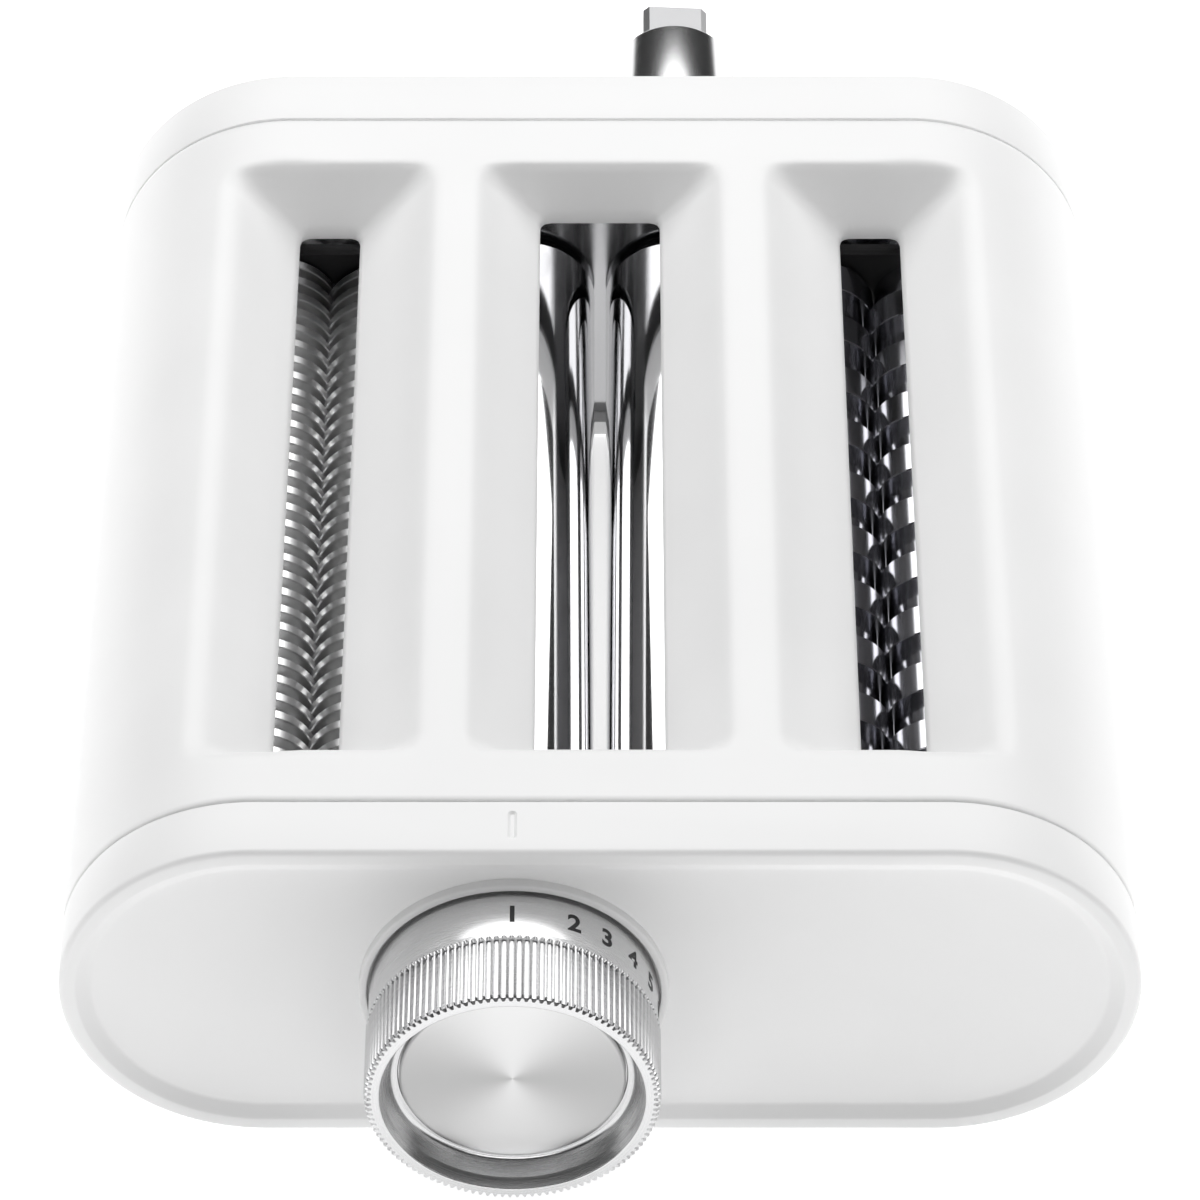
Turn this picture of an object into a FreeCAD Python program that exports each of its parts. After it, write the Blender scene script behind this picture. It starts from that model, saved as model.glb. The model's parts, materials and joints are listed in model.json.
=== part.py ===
import FreeCAD, Part

import math
import os

# Pasta roller and cutter attachment for a stand mixer: a pair of smooth sheet rollers with a
# thickness dial, a fine cutter pair on the left and a wide cutter pair on the right, all turned by
# one square drive tang at the rear.
# Millimetres. +X to the right, +Y to the rear (towards the mixer), +Z up. While the pieces are
# made, Y = 0 is the front face; they are moved to the middle of the overall length on export.

# ---- housing ------------------------------------------------------------------------------------
BODY_H = 65.0             # overall height, the sides are full half rounds
BODY_L = 200.0            # front face to rear face
SIDE_MARGIN = 20.7        # outer cutter rings to the side of the housing
WALL = 3.0                # wall of the sleeve and of both caps
FRONT_CAP_L = 12.1        # front face to the front seam
REAR_CAP_L = 13.4         # rear seam to the rear face
EDGE_R = 1.0              # rounding of the outer front and rear edges
SEAM_W = 0.5              # width of the shadow groove at each seam
SEAM_D = 0.6              # depth of the shadow groove
LIP_W = 2.8               # flat lip round the front panel
PANEL_SLOPE = 2.3         # width of the slope inside the lip
PANEL_DEPTH = 1.4         # how far the front panel lies behind the lip
PLAY = 0.2                # gap between the inner frame and the housing
COVER_MARGIN = 8.5        # outer cutter axes to the joint between sleeve and bottom cover
COVER_GAP = 0.15          # gap at each long joint of the bottom cover
COVER_RISE = 1.0          # the joint reaches this far above two walls

# ---- hoppers and outlets ------------------------------------------------------------------------
HOPPER_INSET = 1.6        # the hoppers stop this far inside the roller ends
HOPPER_R = 3.0            # corner radius of an opening
SLOT_R = 2.0              # corner radius of a slot
SLOT_LIP = 1.0            # straight lip under each slot
FUNNEL_WALL = 2.0         # wall of the hoppers below the top
CENTRE_SLOT_W = 21.4
CENTRE_DEPTH = 9.7        # top face to the slot
CENTRE_SIDE_RUN = 11.0    # horizontal run of a side slope
CENTRE_END_RUN = 3.9      # horizontal run of an end slope
OUTER_SLOT_W = 10.8
OUTER_DEPTH = 12.0
OUTER_SIDE_RUN = 13.6
OUTER_END_RUN = 5.5
SLOT_INSET = 0.4          # the outer slots sit this much closer to the middle than their cutters
OUTLET_REAR_INSET = 0.9   # the outlets stop this far inside the rear roller ends
OUTLET_CENTRE_W = 34.0
OUTLET_OUTER_W = 26.0
OUTLET_R = 4.0

# ---- rollers ------------------------------------------------------------------------------------
FRONT_END_PLAY = 0.3      # roller ends to the front guards
REAR_END_PLAY = 0.4       # roller ends to the rear guards
SMOOTH_R = 13.0           # sheet rollers
GAP_WIDE = 2.0            # sheet roller gap on dial number 1
GAP_THIN = 0.4            # sheet roller gap on dial number 8
JOURNAL_R = 5.0           # journals of the sheet rollers
RING_R = 9.8              # cutter rings
RING_H = 2.1              # height of the rings above the grooves
RING_SIDE_GAP = 0.06      # axial gap between a ring and the groove it runs in
FINE_PITCH = 4.36
FINE_LEAD = 0.2           # roller end to the first ring of the inner fine roller
WIDE_PITCH = 14.0
WIDE_LEAD = 4.85          # roller end to the first ring of the inner wide roller
CUTTER_JOURNAL_R = 4.0
RING_EDGE = 0.12          # chamfer on the ring edges

# ---- gears --------------------------------------------------------------------------------------
ROLLER_TEETH = 16         # pair that ties the two sheet rollers
SPUR_TEETH = 31           # large gear on the drive roller
IDLER_TEETH = 26
CUTTER_TEETH = 16
CUTTER_MODULE = 1.1
PRESSURE_ANGLE = math.radians(25.0)
BACKLASH = 0.16           # thinning of each tooth at the pitch circle
MESH_PLAY = 0.05          # added to each fixed centre distance

# ---- inner frame, bushes ------------------------------------------------------------------------
PLATE_T = 3.0             # bearing plates
REAR_ROOM = 22.2          # front face of the rear bearing plate to the rear face
GUARD_T = 1.5             # cutter end guards and bush flanges
GUARD_UP = 9.6            # top edge of the end guards above the axes
GUARD_DOWN = 8.0          # lower edge of the end guards below the axes
RUN_GAP = 0.05            # radial running clearance
SLIDE_GAP = 0.1           # clearance beside the sliding plates
FRONT_SLIDE_T = 3.5
REAR_SLIDE_T = 2.5
BUSH_WALL = 2.0
FLANGE_R = 11.0           # thrust flanges of the sheet roller bushes
CUTTER_FLANGE_R = 7.4
TIE_R = 3.5               # spacers and carriage rods
TIE_DX = 13.0             # carriage rods and middle spacers outside the sheet roller axes
TIE_DZ = 13.5
SIDE_TIE_MARGIN = 9.7     # outer cutter rings to the side spacers
SCREW_R = 1.7             # shank of every screw
SCREW_HOLE_R = 2.0        # clearance hole
SCREW_HEAD_R = 3.6
SCREW_HEAD_L = 2.2
SCREW_BITE = 6.0          # depth a screw reaches into what it holds
SIDE_SCREW_DZ = 11.0      # cap screws above and below mid height
GUIDE_R = 2.0             # shoulder pins that guide the sliding plates
GUIDE_DX = 6.5            # guide pins inside the adjusting roller's axis
GUIDE_DZ = 15.5
GUIDE_HEAD_R = 3.4
GUIDE_HEAD_T = 0.8
SLIDE_OUT = 18.0          # sliding plates, outside and inside the roller's axis
SLIDE_IN = 10.0
SLIDE_HALF_H = 19.0
SLIDE_CORNER_R = 3.0
ROD_GAP = 0.4             # clearance of the carriage rods in the bearing plates
GUARD_INNER = 12.0        # end guards reach this far past the cutter axes
SCRAPER_GAP = 0.25
SCRAPER_ANGLE = -52.0     # where the blades meet the sheet rollers, degrees from level
SCRAPER_END = 3.0         # the blades stop this far inside the roller ends
COMB_DZ = 6.0             # top of a comb below the roller axes
COMB_T = 1.2
COMB_BACK = 8.4           # roller axis to the comb's body
COMB_W = 4.5
COMB_GAP = 0.35           # gap beside and below a comb tooth

# ---- shafts at the rear -------------------------------------------------------------------------
GEAR_T = 4.0
GEAR_PLAY = 0.4           # slide guide heads to the first gears
GEAR_SPACE = 0.8          # between the two planes of gears
CLIP_T = 0.8
CLIP_WALL = 2.2
CLIP_GROOVE = 0.8         # depth of a clip groove
CLIP_GAP = 0.1            # gear to clip
SHAFT_TAIL = 0.5          # clip to the end of the shaft
IDLER_STUD_R = 3.0
SHAFT_FLAT = 0.8          # depth of the drive flat on a shaft
HUB_BOSS_R = 21.5
HUB_BOSS_L = 12.7
COLLAR_R = 11.3           # the spigot outside the boss
COLLAR_SEAT_R = 11.6      # the spigot inside the boss
COLLAR_FLANGE_R = 15.0    # flange that holds the collar inside the rear cap
COLLAR_FLANGE_T = 1.8
COLLAR_L = 42.1           # rear face to the end of the steel collar
TANG_L = 55.1             # rear face to the end of the square tang
TANG_AF = 12.0            # across flats
TANG_CHAMFER = 1.1        # corner chamfer of the square
TANG_TILT = 3.0           # the tang's turn at rest, degrees
DRIVE_SHAFT_R = 8.0
HUB_BUSH_R = 9.4
DRIVE_SOCKET_L = 12.0     # depth of the bore that takes the drive roller's journal
DRIVE_PIN_R = 1.5

# ---- thickness dial -----------------------------------------------------------------------------
KNOB_R = 23.8             # over the knurl
KNURL_DEPTH = 0.75
KNURLS = 120
KNOB_FRONT = 23.2         # the knob stands this far ahead of the front face
KNURL_BACK = 9.3          # the knurled band ends this far ahead of the front face
DIAL_R = 23.5             # smooth dial ring behind the knurl
DIAL_BACK = 0.8           # the dial ring ends this far behind the front face
CUP_LIP_R = 21.3          # mouth of the hollow in the knob's front
CUP_FLOOR_R = 19.6
CUP_DEPTH = 5.4
DISC_R = 18.2             # spun disc in the cup
DISC_FACE = 4.5           # the disc lies this far behind the knob's front
BEZEL_GAP = 0.4
BEZEL_WALL = 1.3
BEZEL_FRONT = 0.2
INDEX_W = 1.1             # index mark on top of the front cap
INDEX_L = 6.0
INDEX_Y0 = 3.3
INDEX_D = 0.4
SETTINGS = 8
FIRST_STEP = 25.0         # degrees from number 1 to number 2
NEXT_STEP = 15.2          # degrees between the other numbers
ADJUST_SHAFT_R = 5.0
ADJUST_BUSH_R = 7.0
ADJUST_FLANGE_R = 9.0
KNOB_WALL_R = 21.0        # inside of the knob's metal shell
INSERT_R = 19.45          # outside of the plastic insert
INSERT_WALL = 2.0
INSERT_HUB_R = 8.0
CAM_R = 19.0
CAM_Y = 8.6
CAM_T = 4.0
CAM_PIN_R = 2.0
CAM_PIN_OFFSET = 12.0     # follower pin to the dial axis on number 1
DETENT_R = 16.6
DETENT_BALL_R = 1.5
DETENT_WIRE_R = 0.3
DETENT_TURNS = 3

# ---- sizes that follow from the ones above ------------------------------------------------------
AXIS_Z = BODY_H / 2       # every roller axis lies at mid height
SMOOTH_X = SMOOTH_R + GAP_WIDE / 2
ROLLER_MODULE = (2 * SMOOTH_R + GAP_THIN) / ROLLER_TEETH
TRAVEL = GAP_WIDE - GAP_THIN
DIAL_TURN = FIRST_STEP + NEXT_STEP * (SETTINGS - 2)
ROOT_R = RING_R - RING_H
CUTTER_PITCH_R = CUTTER_MODULE * CUTTER_TEETH / 2
SPUR_R = CUTTER_MODULE * SPUR_TEETH / 2
IDLER_R = CUTTER_MODULE * IDLER_TEETH / 2
INNER_X = SMOOTH_X + SPUR_R + CUTTER_PITCH_R + MESH_PLAY
OUTER_X = INNER_X + 2 * CUTTER_PITCH_R
PAIR_X = (INNER_X + OUTER_X) / 2
SPUR_TO_IDLER = SPUR_R + IDLER_R + MESH_PLAY
IDLER_TO_CUTTER = IDLER_R + CUTTER_PITCH_R + MESH_PLAY
SPUR_TO_CUTTER = SMOOTH_X + INNER_X
IDLER_RUN = (SPUR_TO_CUTTER ** 2 + SPUR_TO_IDLER ** 2 - IDLER_TO_CUTTER ** 2) / (2 * SPUR_TO_CUTTER)
IDLER_X = SMOOTH_X - IDLER_RUN
IDLER_Z = AXIS_Z - math.sqrt(SPUR_TO_IDLER ** 2 - IDLER_RUN ** 2)
BODY_W = 2 * (OUTER_X + RING_R + SIDE_MARGIN)
COVER_X = OUTER_X + COVER_MARGIN
SIDE_TIE_X = OUTER_X + RING_R + SIDE_TIE_MARGIN
TIE_X = SMOOTH_X + TIE_DX
GUIDE_X = GUIDE_DX - SMOOTH_X
SLIDE_X0 = -SMOOTH_X - SLIDE_OUT
SLIDE_X1 = -SMOOTH_X + SLIDE_IN
GUARD_TOP = AXIS_Z + GUARD_UP
GUARD_LOW = AXIS_Z - GUARD_DOWN
REAR_SEAM_Y = BODY_L - REAR_CAP_L
CAM_END = CAM_Y + CAM_T
DIAL_SHAFT_END = CAM_END + CLIP_T + 0.2
FRONT_SLIDE_Y = DIAL_SHAFT_END + 0.3
FRONT_PLATE_Y = FRONT_SLIDE_Y + FRONT_SLIDE_T + SLIDE_GAP
REAR_PLATE_Y = BODY_L - REAR_ROOM
REAR_PLATE_BACK = REAR_PLATE_Y + PLATE_T
REAR_SLIDE_Y = REAR_PLATE_BACK + SLIDE_GAP
GUARD_FRONT_Y = FRONT_PLATE_Y + PLATE_T
GUARD_REAR_Y = REAR_PLATE_Y - GUARD_T
ROLLER_Y0 = GUARD_FRONT_Y + GUARD_T + FRONT_END_PLAY
ROLLER_Y1 = GUARD_REAR_Y - REAR_END_PLAY
HOPPER_Y0 = ROLLER_Y0 + HOPPER_INSET
HOPPER_Y1 = ROLLER_Y1 - HOPPER_INSET
OUTLET_Y1 = ROLLER_Y1 - OUTLET_REAR_INSET
GEAR_1_Y = REAR_SLIDE_Y + REAR_SLIDE_T + GUIDE_HEAD_T + GEAR_PLAY
GEAR_2_Y = GEAR_1_Y + GEAR_T + GEAR_SPACE
GEAR_2_END = GEAR_2_Y + GEAR_T
CLIP_Y = GEAR_2_END + CLIP_GAP
SHAFT_END = CLIP_Y + CLIP_T + SHAFT_TAIL
DRIVE_SHAFT_Y = GEAR_2_END + 0.6
DRIVE_PIN_Y = DRIVE_SHAFT_Y + DRIVE_SOCKET_L / 2
SCREW_SEAT_Y = BODY_L - SCREW_HEAD_L - 0.8
DIAL_X = -SMOOTH_X
KNOB_FLOOR_Y = CUP_DEPTH - KNOB_FRONT
PANEL_IN = PANEL_DEPTH + WALL
OVERALL_Y0 = -KNOB_FRONT
OVERALL_Y1 = BODY_L + TANG_L
MID_Y = (OVERALL_Y0 + OVERALL_Y1) / 2

V = FreeCAD.Vector
ALONG_Y = V(0, 1, 0)


# ---- small helpers ------------------------------------------------------------------------------
def rod(radius, y0, y1, x=0.0, z=AXIS_Z):
    """A cylinder along Y."""
    return Part.makeCylinder(radius, y1 - y0, V(x, y0, z), ALONG_Y)


def block(x0, x1, y0, y1, z0, z1):
    """A box given by its limits."""
    return Part.makeBox(x1 - x0, y1 - y0, z1 - z0, V(x0, y0, z0))


def turned(profile, x=0.0, z=AXIS_Z):
    """A solid turned about the axis along Y through (x, z). The profile lists (radius, y)."""
    points = [V(x + radius, y, z) for radius, y in profile]
    face = Part.Face(Part.makePolygon(points + points[:1]))
    return face.revolve(V(x, 0, z), ALONG_Y, 360)


def prism(points, y0, y1):
    """A polygon of (x, z) corners drawn out along Y."""
    corners = [V(x, y0, z) for x, z in points]
    return Part.Face(Part.makePolygon(corners + corners[:1])).extrude(V(0, y1 - y0, 0))


def rounded_wire(x0, x1, y0, y1, z, radius):
    """A rectangle with rounded corners in a level plane."""
    d = radius * (1 - math.sqrt(0.5))
    edges = []
    corners = [(x1, y0, -1, 1), (x1, y1, -1, -1), (x0, y1, 1, -1), (x0, y0, 1, 1)]
    for i, (cx, cy, sx, sy) in enumerate(corners):
        along_x = V(cx + sx * radius, cy, z)
        along_y = V(cx, cy + sy * radius, z)
        first, last = (along_x, along_y) if i % 2 == 0 else (along_y, along_x)
        edges.append(Part.Arc(first, V(cx + sx * d, cy + sy * d, z), last).toShape())
    wire = []
    for i, arc in enumerate(edges):
        wire.append(arc)
        end = arc.lastVertex().Point
        start = edges[(i + 1) % 4].firstVertex().Point
        wire.append(Part.LineSegment(end, start).toShape())
    return Part.Wire(wire)


def stadium(inset, y0, y1):
    """The housing's section with every wall moved in by inset, drawn out along Y."""
    radius = BODY_H / 2 - inset
    x = BODY_W / 2 - BODY_H / 2
    top, bottom, mid = AXIS_Z + radius, AXIS_Z - radius, AXIS_Z
    edges = [
        Part.LineSegment(V(-x, y0, top), V(x, y0, top)),
        Part.Arc(V(x, y0, top), V(x + radius, y0, mid), V(x, y0, bottom)),
        Part.LineSegment(V(x, y0, bottom), V(-x, y0, bottom)),
        Part.Arc(V(-x, y0, bottom), V(-x - radius, y0, mid), V(-x, y0, top)),
    ]
    return Part.Face(Part.Wire([e.toShape() for e in edges])).extrude(V(0, y1 - y0, 0))


def stadium_wire(inset, y):
    """The outline of the housing's section at y, every wall moved in by inset."""
    return [w for w in stadium(inset, y, y + 1).Wires if w.BoundBox.YMax < y + 0.5][0]


def end_edges(shape, y):
    """The edges of a shape that lie at y."""
    return [e for e in shape.Edges if abs(e.BoundBox.YMin - y) < 1e-6 and abs(e.BoundBox.YMax - y) < 1e-6]


def obround(radius, run, y0, y1, x, z):
    """A slot along X for a rod that moves by run from x."""
    hole = rod(radius, y0, y1, x, z).fuse(rod(radius, y0, y1, x + run, z))
    return hole.fuse(block(min(x, x + run), max(x, x + run), y0, y1, z - radius, z + radius))


def flat_cut(y0, y1, radius, x):
    """What is cut from a shaft to leave a drive flat on its top."""
    top = AXIS_Z + radius
    return block(x - radius, x + radius, y0, y1, top - SHAFT_FLAT, top + 1)


# ---- housing ------------------------------------------------------------------------------------
def hopper(x, width, depth, side_run, end_run, wall):
    """One funnel, moved out by its wall: a tapered block from the slot to above the top face."""
    above = 8.0
    wires = []
    for level in (-depth, above):
        share = (level + depth) / depth
        dx = width / 2 + side_run * share + wall
        dy = end_run * (1 - share) - wall
        radius = max(SLOT_R + (HOPPER_R - SLOT_R) * min(share, 1), 0.5) + wall
        wires.append(rounded_wire(x - dx, x + dx, HOPPER_Y0 + dy, HOPPER_Y1 - dy, BODY_H + level, radius))
    return Part.makeLoft(wires, True, True)


def hopper_set():
    """x, slot width, depth, side run and end run of the three hoppers."""
    centre = (0.0, CENTRE_SLOT_W, CENTRE_DEPTH, CENTRE_SIDE_RUN, CENTRE_END_RUN)
    sides = [(s * (PAIR_X - SLOT_INSET), OUTER_SLOT_W, OUTER_DEPTH, OUTER_SIDE_RUN, OUTER_END_RUN)
             for s in (-1, 1)]
    return [centre] + sides


def main_housing():
    """The sleeve with its three hoppers, open underneath for the bottom cover."""
    outer = stadium(0, FRONT_CAP_L, REAR_SEAM_Y)
    sleeve = outer.cut(stadium(WALL, FRONT_CAP_L, REAR_SEAM_Y)).cut(cover_block(0))
    for x, width, depth, side_run, end_run in hopper_set():
        funnel = hopper(x, width, depth, side_run, end_run, FUNNEL_WALL).common(outer)
        sleeve = sleeve.fuse(funnel).fuse(slot_mouth(x, width, depth, end_run, FUNNEL_WALL, 0))
    for x, width, depth, side_run, end_run in hopper_set():
        sleeve = sleeve.cut(hopper(x, width, depth, side_run, end_run, 0))
        sleeve = sleeve.cut(slot_mouth(x, width, depth, end_run, 0, 0.5))
    return sleeve.removeSplitter()


def slot_mouth(x, width, depth, end_run, wall, over):
    """The straight lip under a hopper, moved out by its wall and made longer by over."""
    y0, y1 = HOPPER_Y0 + end_run - wall, HOPPER_Y1 - end_run + wall
    x0, x1 = x - width / 2 - wall, x + width / 2 + wall
    wire = rounded_wire(x0, x1, y0, y1, BODY_H - depth - SLOT_LIP - over, SLOT_R + wall)
    return Part.Face(wire).extrude(V(0, 0, SLOT_LIP + 2 * over))


def cover_block(gap):
    """The room of the bottom cover, narrowed by a gap at its long joints."""
    x = COVER_X - gap
    return block(-x, x, FRONT_CAP_L, REAR_SEAM_Y, -1, 2 * WALL + COVER_RISE)


def bottom_cover():
    """The cover held between the caps that closes the sleeve underneath, with three outlets."""
    ring = stadium(0, FRONT_CAP_L, REAR_SEAM_Y).cut(stadium(WALL, FRONT_CAP_L, REAR_SEAM_Y))
    cover = ring.common(cover_block(COVER_GAP))
    for x, width in ((0.0, OUTLET_CENTRE_W), (-PAIR_X, OUTLET_OUTER_W), (PAIR_X, OUTLET_OUTER_W)):
        wire = rounded_wire(x - width / 2, x + width / 2, HOPPER_Y0, OUTLET_Y1, -1, OUTLET_R)
        cover = cover.cut(Part.Face(wire).extrude(V(0, 0, WALL + 2)))
    return cover.removeSplitter()


def seam_ring(y0, y1):
    """What is cut from a cap to leave the shadow groove beside the sleeve."""
    return stadium(-1, y0, y1).cut(stadium(SEAM_D, y0, y1))


def front_cap():
    """The front cap with its recessed panel, the dial's boss, four pillars and the index mark."""
    outer = stadium(0, 0, FRONT_CAP_L)
    outer = outer.makeFillet(EDGE_R, end_edges(outer, 0))
    slope = Part.makeLoft([stadium_wire(LIP_W, 0), stadium_wire(LIP_W + PANEL_SLOPE, PANEL_DEPTH)], True, True)
    cap = outer.cut(slope).cut(stadium(WALL, PANEL_IN, FRONT_CAP_L))
    cap = cap.cut(seam_ring(FRONT_CAP_L - SEAM_W, FRONT_CAP_L))
    cap = cap.fuse(rod(ADJUST_BUSH_R + 3, PANEL_DEPTH, CAM_Y - 0.8, DIAL_X))
    for x, z in cap_screw_places():
        cap = cap.fuse(rod(4.0, PANEL_IN - 0.5, FRONT_PLATE_Y, x, z))
        cap = cap.cut(rod(SCREW_R, FRONT_PLATE_Y - SCREW_BITE - 1, FRONT_PLATE_Y + 1, x, z))
    pocket_z = AXIS_Z + DETENT_R
    cap = cap.fuse(rod(3.0, PANEL_IN - 0.5, CAM_Y - 0.8, DIAL_X, pocket_z))
    cap = cap.cut(rod(DETENT_BALL_R + RUN_GAP, PANEL_DEPTH + 1, CAM_Y - 0.8, DIAL_X, pocket_z))
    cap = cap.cut(rod(ADJUST_BUSH_R, PANEL_DEPTH - 1, CAM_Y, DIAL_X))
    return cap.cut(index_mark()).removeSplitter()


def index_mark():
    """The capsule shaped index recess on top of the front cap, in line with the dial."""
    y0, y1 = INDEX_Y0, INDEX_Y0 + INDEX_L
    dx = INDEX_W / 2
    wire = rounded_wire(DIAL_X - dx, DIAL_X + dx, y0, y1, BODY_H - INDEX_D, dx * 0.98)
    return Part.Face(wire).extrude(V(0, 0, 1))


def cap_screw_places():
    """Where the front cap's pillars and the rear cap's standoffs stand."""
    return [(sx * SIDE_TIE_X, AXIS_Z + sz * SIDE_SCREW_DZ) for sx in (-1, 1) for sz in (-1, 1)]


def rear_cap():
    """The rear cap with the hub boss, the idler's boss and four screw pockets."""
    outer = stadium(0, REAR_SEAM_Y, BODY_L)
    outer = outer.makeFillet(EDGE_R, end_edges(outer, BODY_L))
    cap = outer.cut(stadium(WALL, REAR_SEAM_Y, BODY_L - WALL))
    cap = cap.cut(seam_ring(REAR_SEAM_Y, REAR_SEAM_Y + SEAM_W))
    boss = rod(HUB_BOSS_R, BODY_L - 0.5, BODY_L + HUB_BOSS_L, SMOOTH_X)
    boss = boss.makeFillet(EDGE_R, end_edges(boss, BODY_L + HUB_BOSS_L))
    cap = cap.fuse(boss)
    cap = cap.fuse(rod(IDLER_STUD_R + 2, GEAR_2_END + 0.1, BODY_L - 0.5, IDLER_X, IDLER_Z))
    cap = cap.cut(rod(IDLER_STUD_R, GEAR_2_Y, BODY_L - 1.5, IDLER_X, IDLER_Z))
    cap = cap.cut(rod(COLLAR_SEAT_R, BODY_L - WALL - 1, BODY_L + HUB_BOSS_L + 1, SMOOTH_X))
    for x, z in cap_screw_places():
        cap = cap.fuse(rod(4.5, REAR_PLATE_BACK, BODY_L - 1, x, z))
        cap = cap.cut(rod(SCREW_HOLE_R, REAR_PLATE_BACK - 1, BODY_L, x, z))
        cap = cap.cut(rod(SCREW_HEAD_R + 0.2, SCREW_SEAT_Y, BODY_L + 1, x, z))
    return cap.removeSplitter()


def knob_bezel():
    """The thin ring round the foot of the dial."""
    inner = DIAL_R + BEZEL_GAP
    return rod(inner + BEZEL_WALL, -BEZEL_FRONT, PANEL_DEPTH, DIAL_X).cut(
        rod(inner, -BEZEL_FRONT - 1, PANEL_DEPTH + 1, DIAL_X))


def hub_collar():
    """The steel spigot that seats in the mixer's hub."""
    inner = BODY_L - WALL
    collar = rod(COLLAR_R, inner, BODY_L + COLLAR_L, SMOOTH_X)
    collar = collar.makeChamfer(0.5, end_edges(collar, BODY_L + COLLAR_L))
    collar = collar.fuse(rod(COLLAR_SEAT_R, inner, BODY_L + HUB_BOSS_L, SMOOTH_X))
    collar = collar.fuse(rod(COLLAR_FLANGE_R, inner - COLLAR_FLANGE_T, inner, SMOOTH_X))
    return collar.cut(rod(HUB_BUSH_R, inner - COLLAR_FLANGE_T - 1, BODY_L + COLLAR_L + 1, SMOOTH_X))


def hub_bush():
    """The long bush that carries the drive shaft in the spigot."""
    y0, y1 = BODY_L - WALL, BODY_L + COLLAR_L - 0.6
    return rod(HUB_BUSH_R, y0, y1, SMOOTH_X).cut(rod(DRIVE_SHAFT_R + RUN_GAP, y0 - 1, y1 + 1, SMOOTH_X))


# ---- inner frame --------------------------------------------------------------------------------
def static_journals():
    """x and hole radius of the fixed bushes of one bearing plate."""
    cutters = [(x, CUTTER_JOURNAL_R + BUSH_WALL) for x in (-OUTER_X, -INNER_X, INNER_X, OUTER_X)]
    return cutters + [(SMOOTH_X, JOURNAL_R + BUSH_WALL)]


def bearing_plate(y, front):
    """A steel plate that fits inside the sleeve and carries the bushes."""
    plate = stadium(WALL + PLAY, y, y + PLATE_T)
    holes = [rod(r, y - 1, y + PLATE_T + 1, x) for x, r in static_journals()]
    window = JOURNAL_R + BUSH_WALL + ROD_GAP
    holes.append(obround(window, TRAVEL, y - 1, y + PLATE_T + 1, -SMOOTH_X, AXIS_Z))
    for sz in (-1, 1):
        z = AXIS_Z + sz * TIE_DZ
        holes.append(obround(TIE_R + ROD_GAP, TRAVEL, y - 1, y + PLATE_T + 1, -TIE_X, z))
        holes.append(rod(GUIDE_R, y - 1, y + PLATE_T + 1, GUIDE_X, AXIS_Z + sz * GUIDE_DZ))
    for x, z in spacer_places():
        holes.append(rod(SCREW_HOLE_R, y - 1, y + PLATE_T + 1, x, z))
    for x, z in cap_screw_places():
        holes.append(rod(SCREW_HOLE_R if front else SCREW_R, y - 1, y + PLATE_T + 1, x, z))
    return plate.cut(holes)


def spacer_places():
    """x and z of the four fixed spacers between the bearing plates."""
    middle = [(TIE_X, AXIS_Z + sz * TIE_DZ) for sz in (-1, 1)]
    return middle + [(sx * SIDE_TIE_X, AXIS_Z) for sx in (-1, 1)]


def frame_spacers():
    """Four spacers, one solid each."""
    y0, y1 = GUARD_FRONT_Y, REAR_PLATE_Y
    rods = []
    for x, z in spacer_places():
        spacer = rod(TIE_R, y0, y1, x, z)
        spacer = spacer.cut(rod(SCREW_R, y0 - 1, y0 + SCREW_BITE + 1, x, z))
        rods.append(spacer.cut(rod(SCREW_R, y1 - SCREW_BITE - 1, y1 + 1, x, z)))
    return Part.makeCompound(rods)


def screw(x, y, z, length, to_rear):
    """A pan head screw along Y whose head sits on the plane y."""
    way = 1 if to_rear else -1
    head = Part.makeCylinder(SCREW_HEAD_R, SCREW_HEAD_L, V(x, y, z), V(0, -way, 0))
    top = y - way * SCREW_HEAD_L
    rim = [e for e in head.Edges if abs(e.BoundBox.YMin - top) < 1e-6 and abs(e.BoundBox.YMax - top) < 1e-6]
    head = head.makeFillet(0.6, rim)
    shank = Part.makeCylinder(SCREW_R, length, V(x, y, z), V(0, way, 0))
    slot = block(x - 0.5, x + 0.5, top - 0.8, top + 0.8, z - 2.4, z + 2.4)
    cross = block(x - 2.4, x + 2.4, top - 0.8, top + 0.8, z - 0.5, z + 0.5)
    return head.fuse(shank).cut(slot).cut(cross)


def spacer_screws():
    """Eight screws through the bearing plates into the spacers."""
    screws = []
    for x, z in spacer_places():
        screws.append(screw(x, FRONT_PLATE_Y, z, PLATE_T + SCREW_BITE, True))
        screws.append(screw(x, REAR_PLATE_BACK, z, PLATE_T + SCREW_BITE, False))
    return Part.makeCompound(screws)


def front_cap_screws():
    """Four screws from the front bearing plate into the front cap's pillars."""
    length = PLATE_T + SCREW_BITE
    return Part.makeCompound([screw(x, GUARD_FRONT_Y, z, length, False) for x, z in cap_screw_places()])


def rear_cap_screws():
    """Four screws through the rear cap into the rear bearing plate."""
    seat = SCREW_SEAT_Y
    length = seat - REAR_PLATE_Y
    return Part.makeCompound([screw(x, seat, z, length, False) for x, z in cap_screw_places()])


def flanged_bush(x, bore, outer, flange, spans):
    """A bush: its sleeve spans (y0, y1) and its thrust flange spans (f0, f1)."""
    (y0, y1), (f0, f1) = spans
    bush = rod(outer, y0, y1, x).fuse(rod(flange, f0, f1, x))
    return bush.cut(rod(bore + RUN_GAP, min(y0, f0) - 1, max(y1, f1) + 1, x))


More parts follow.
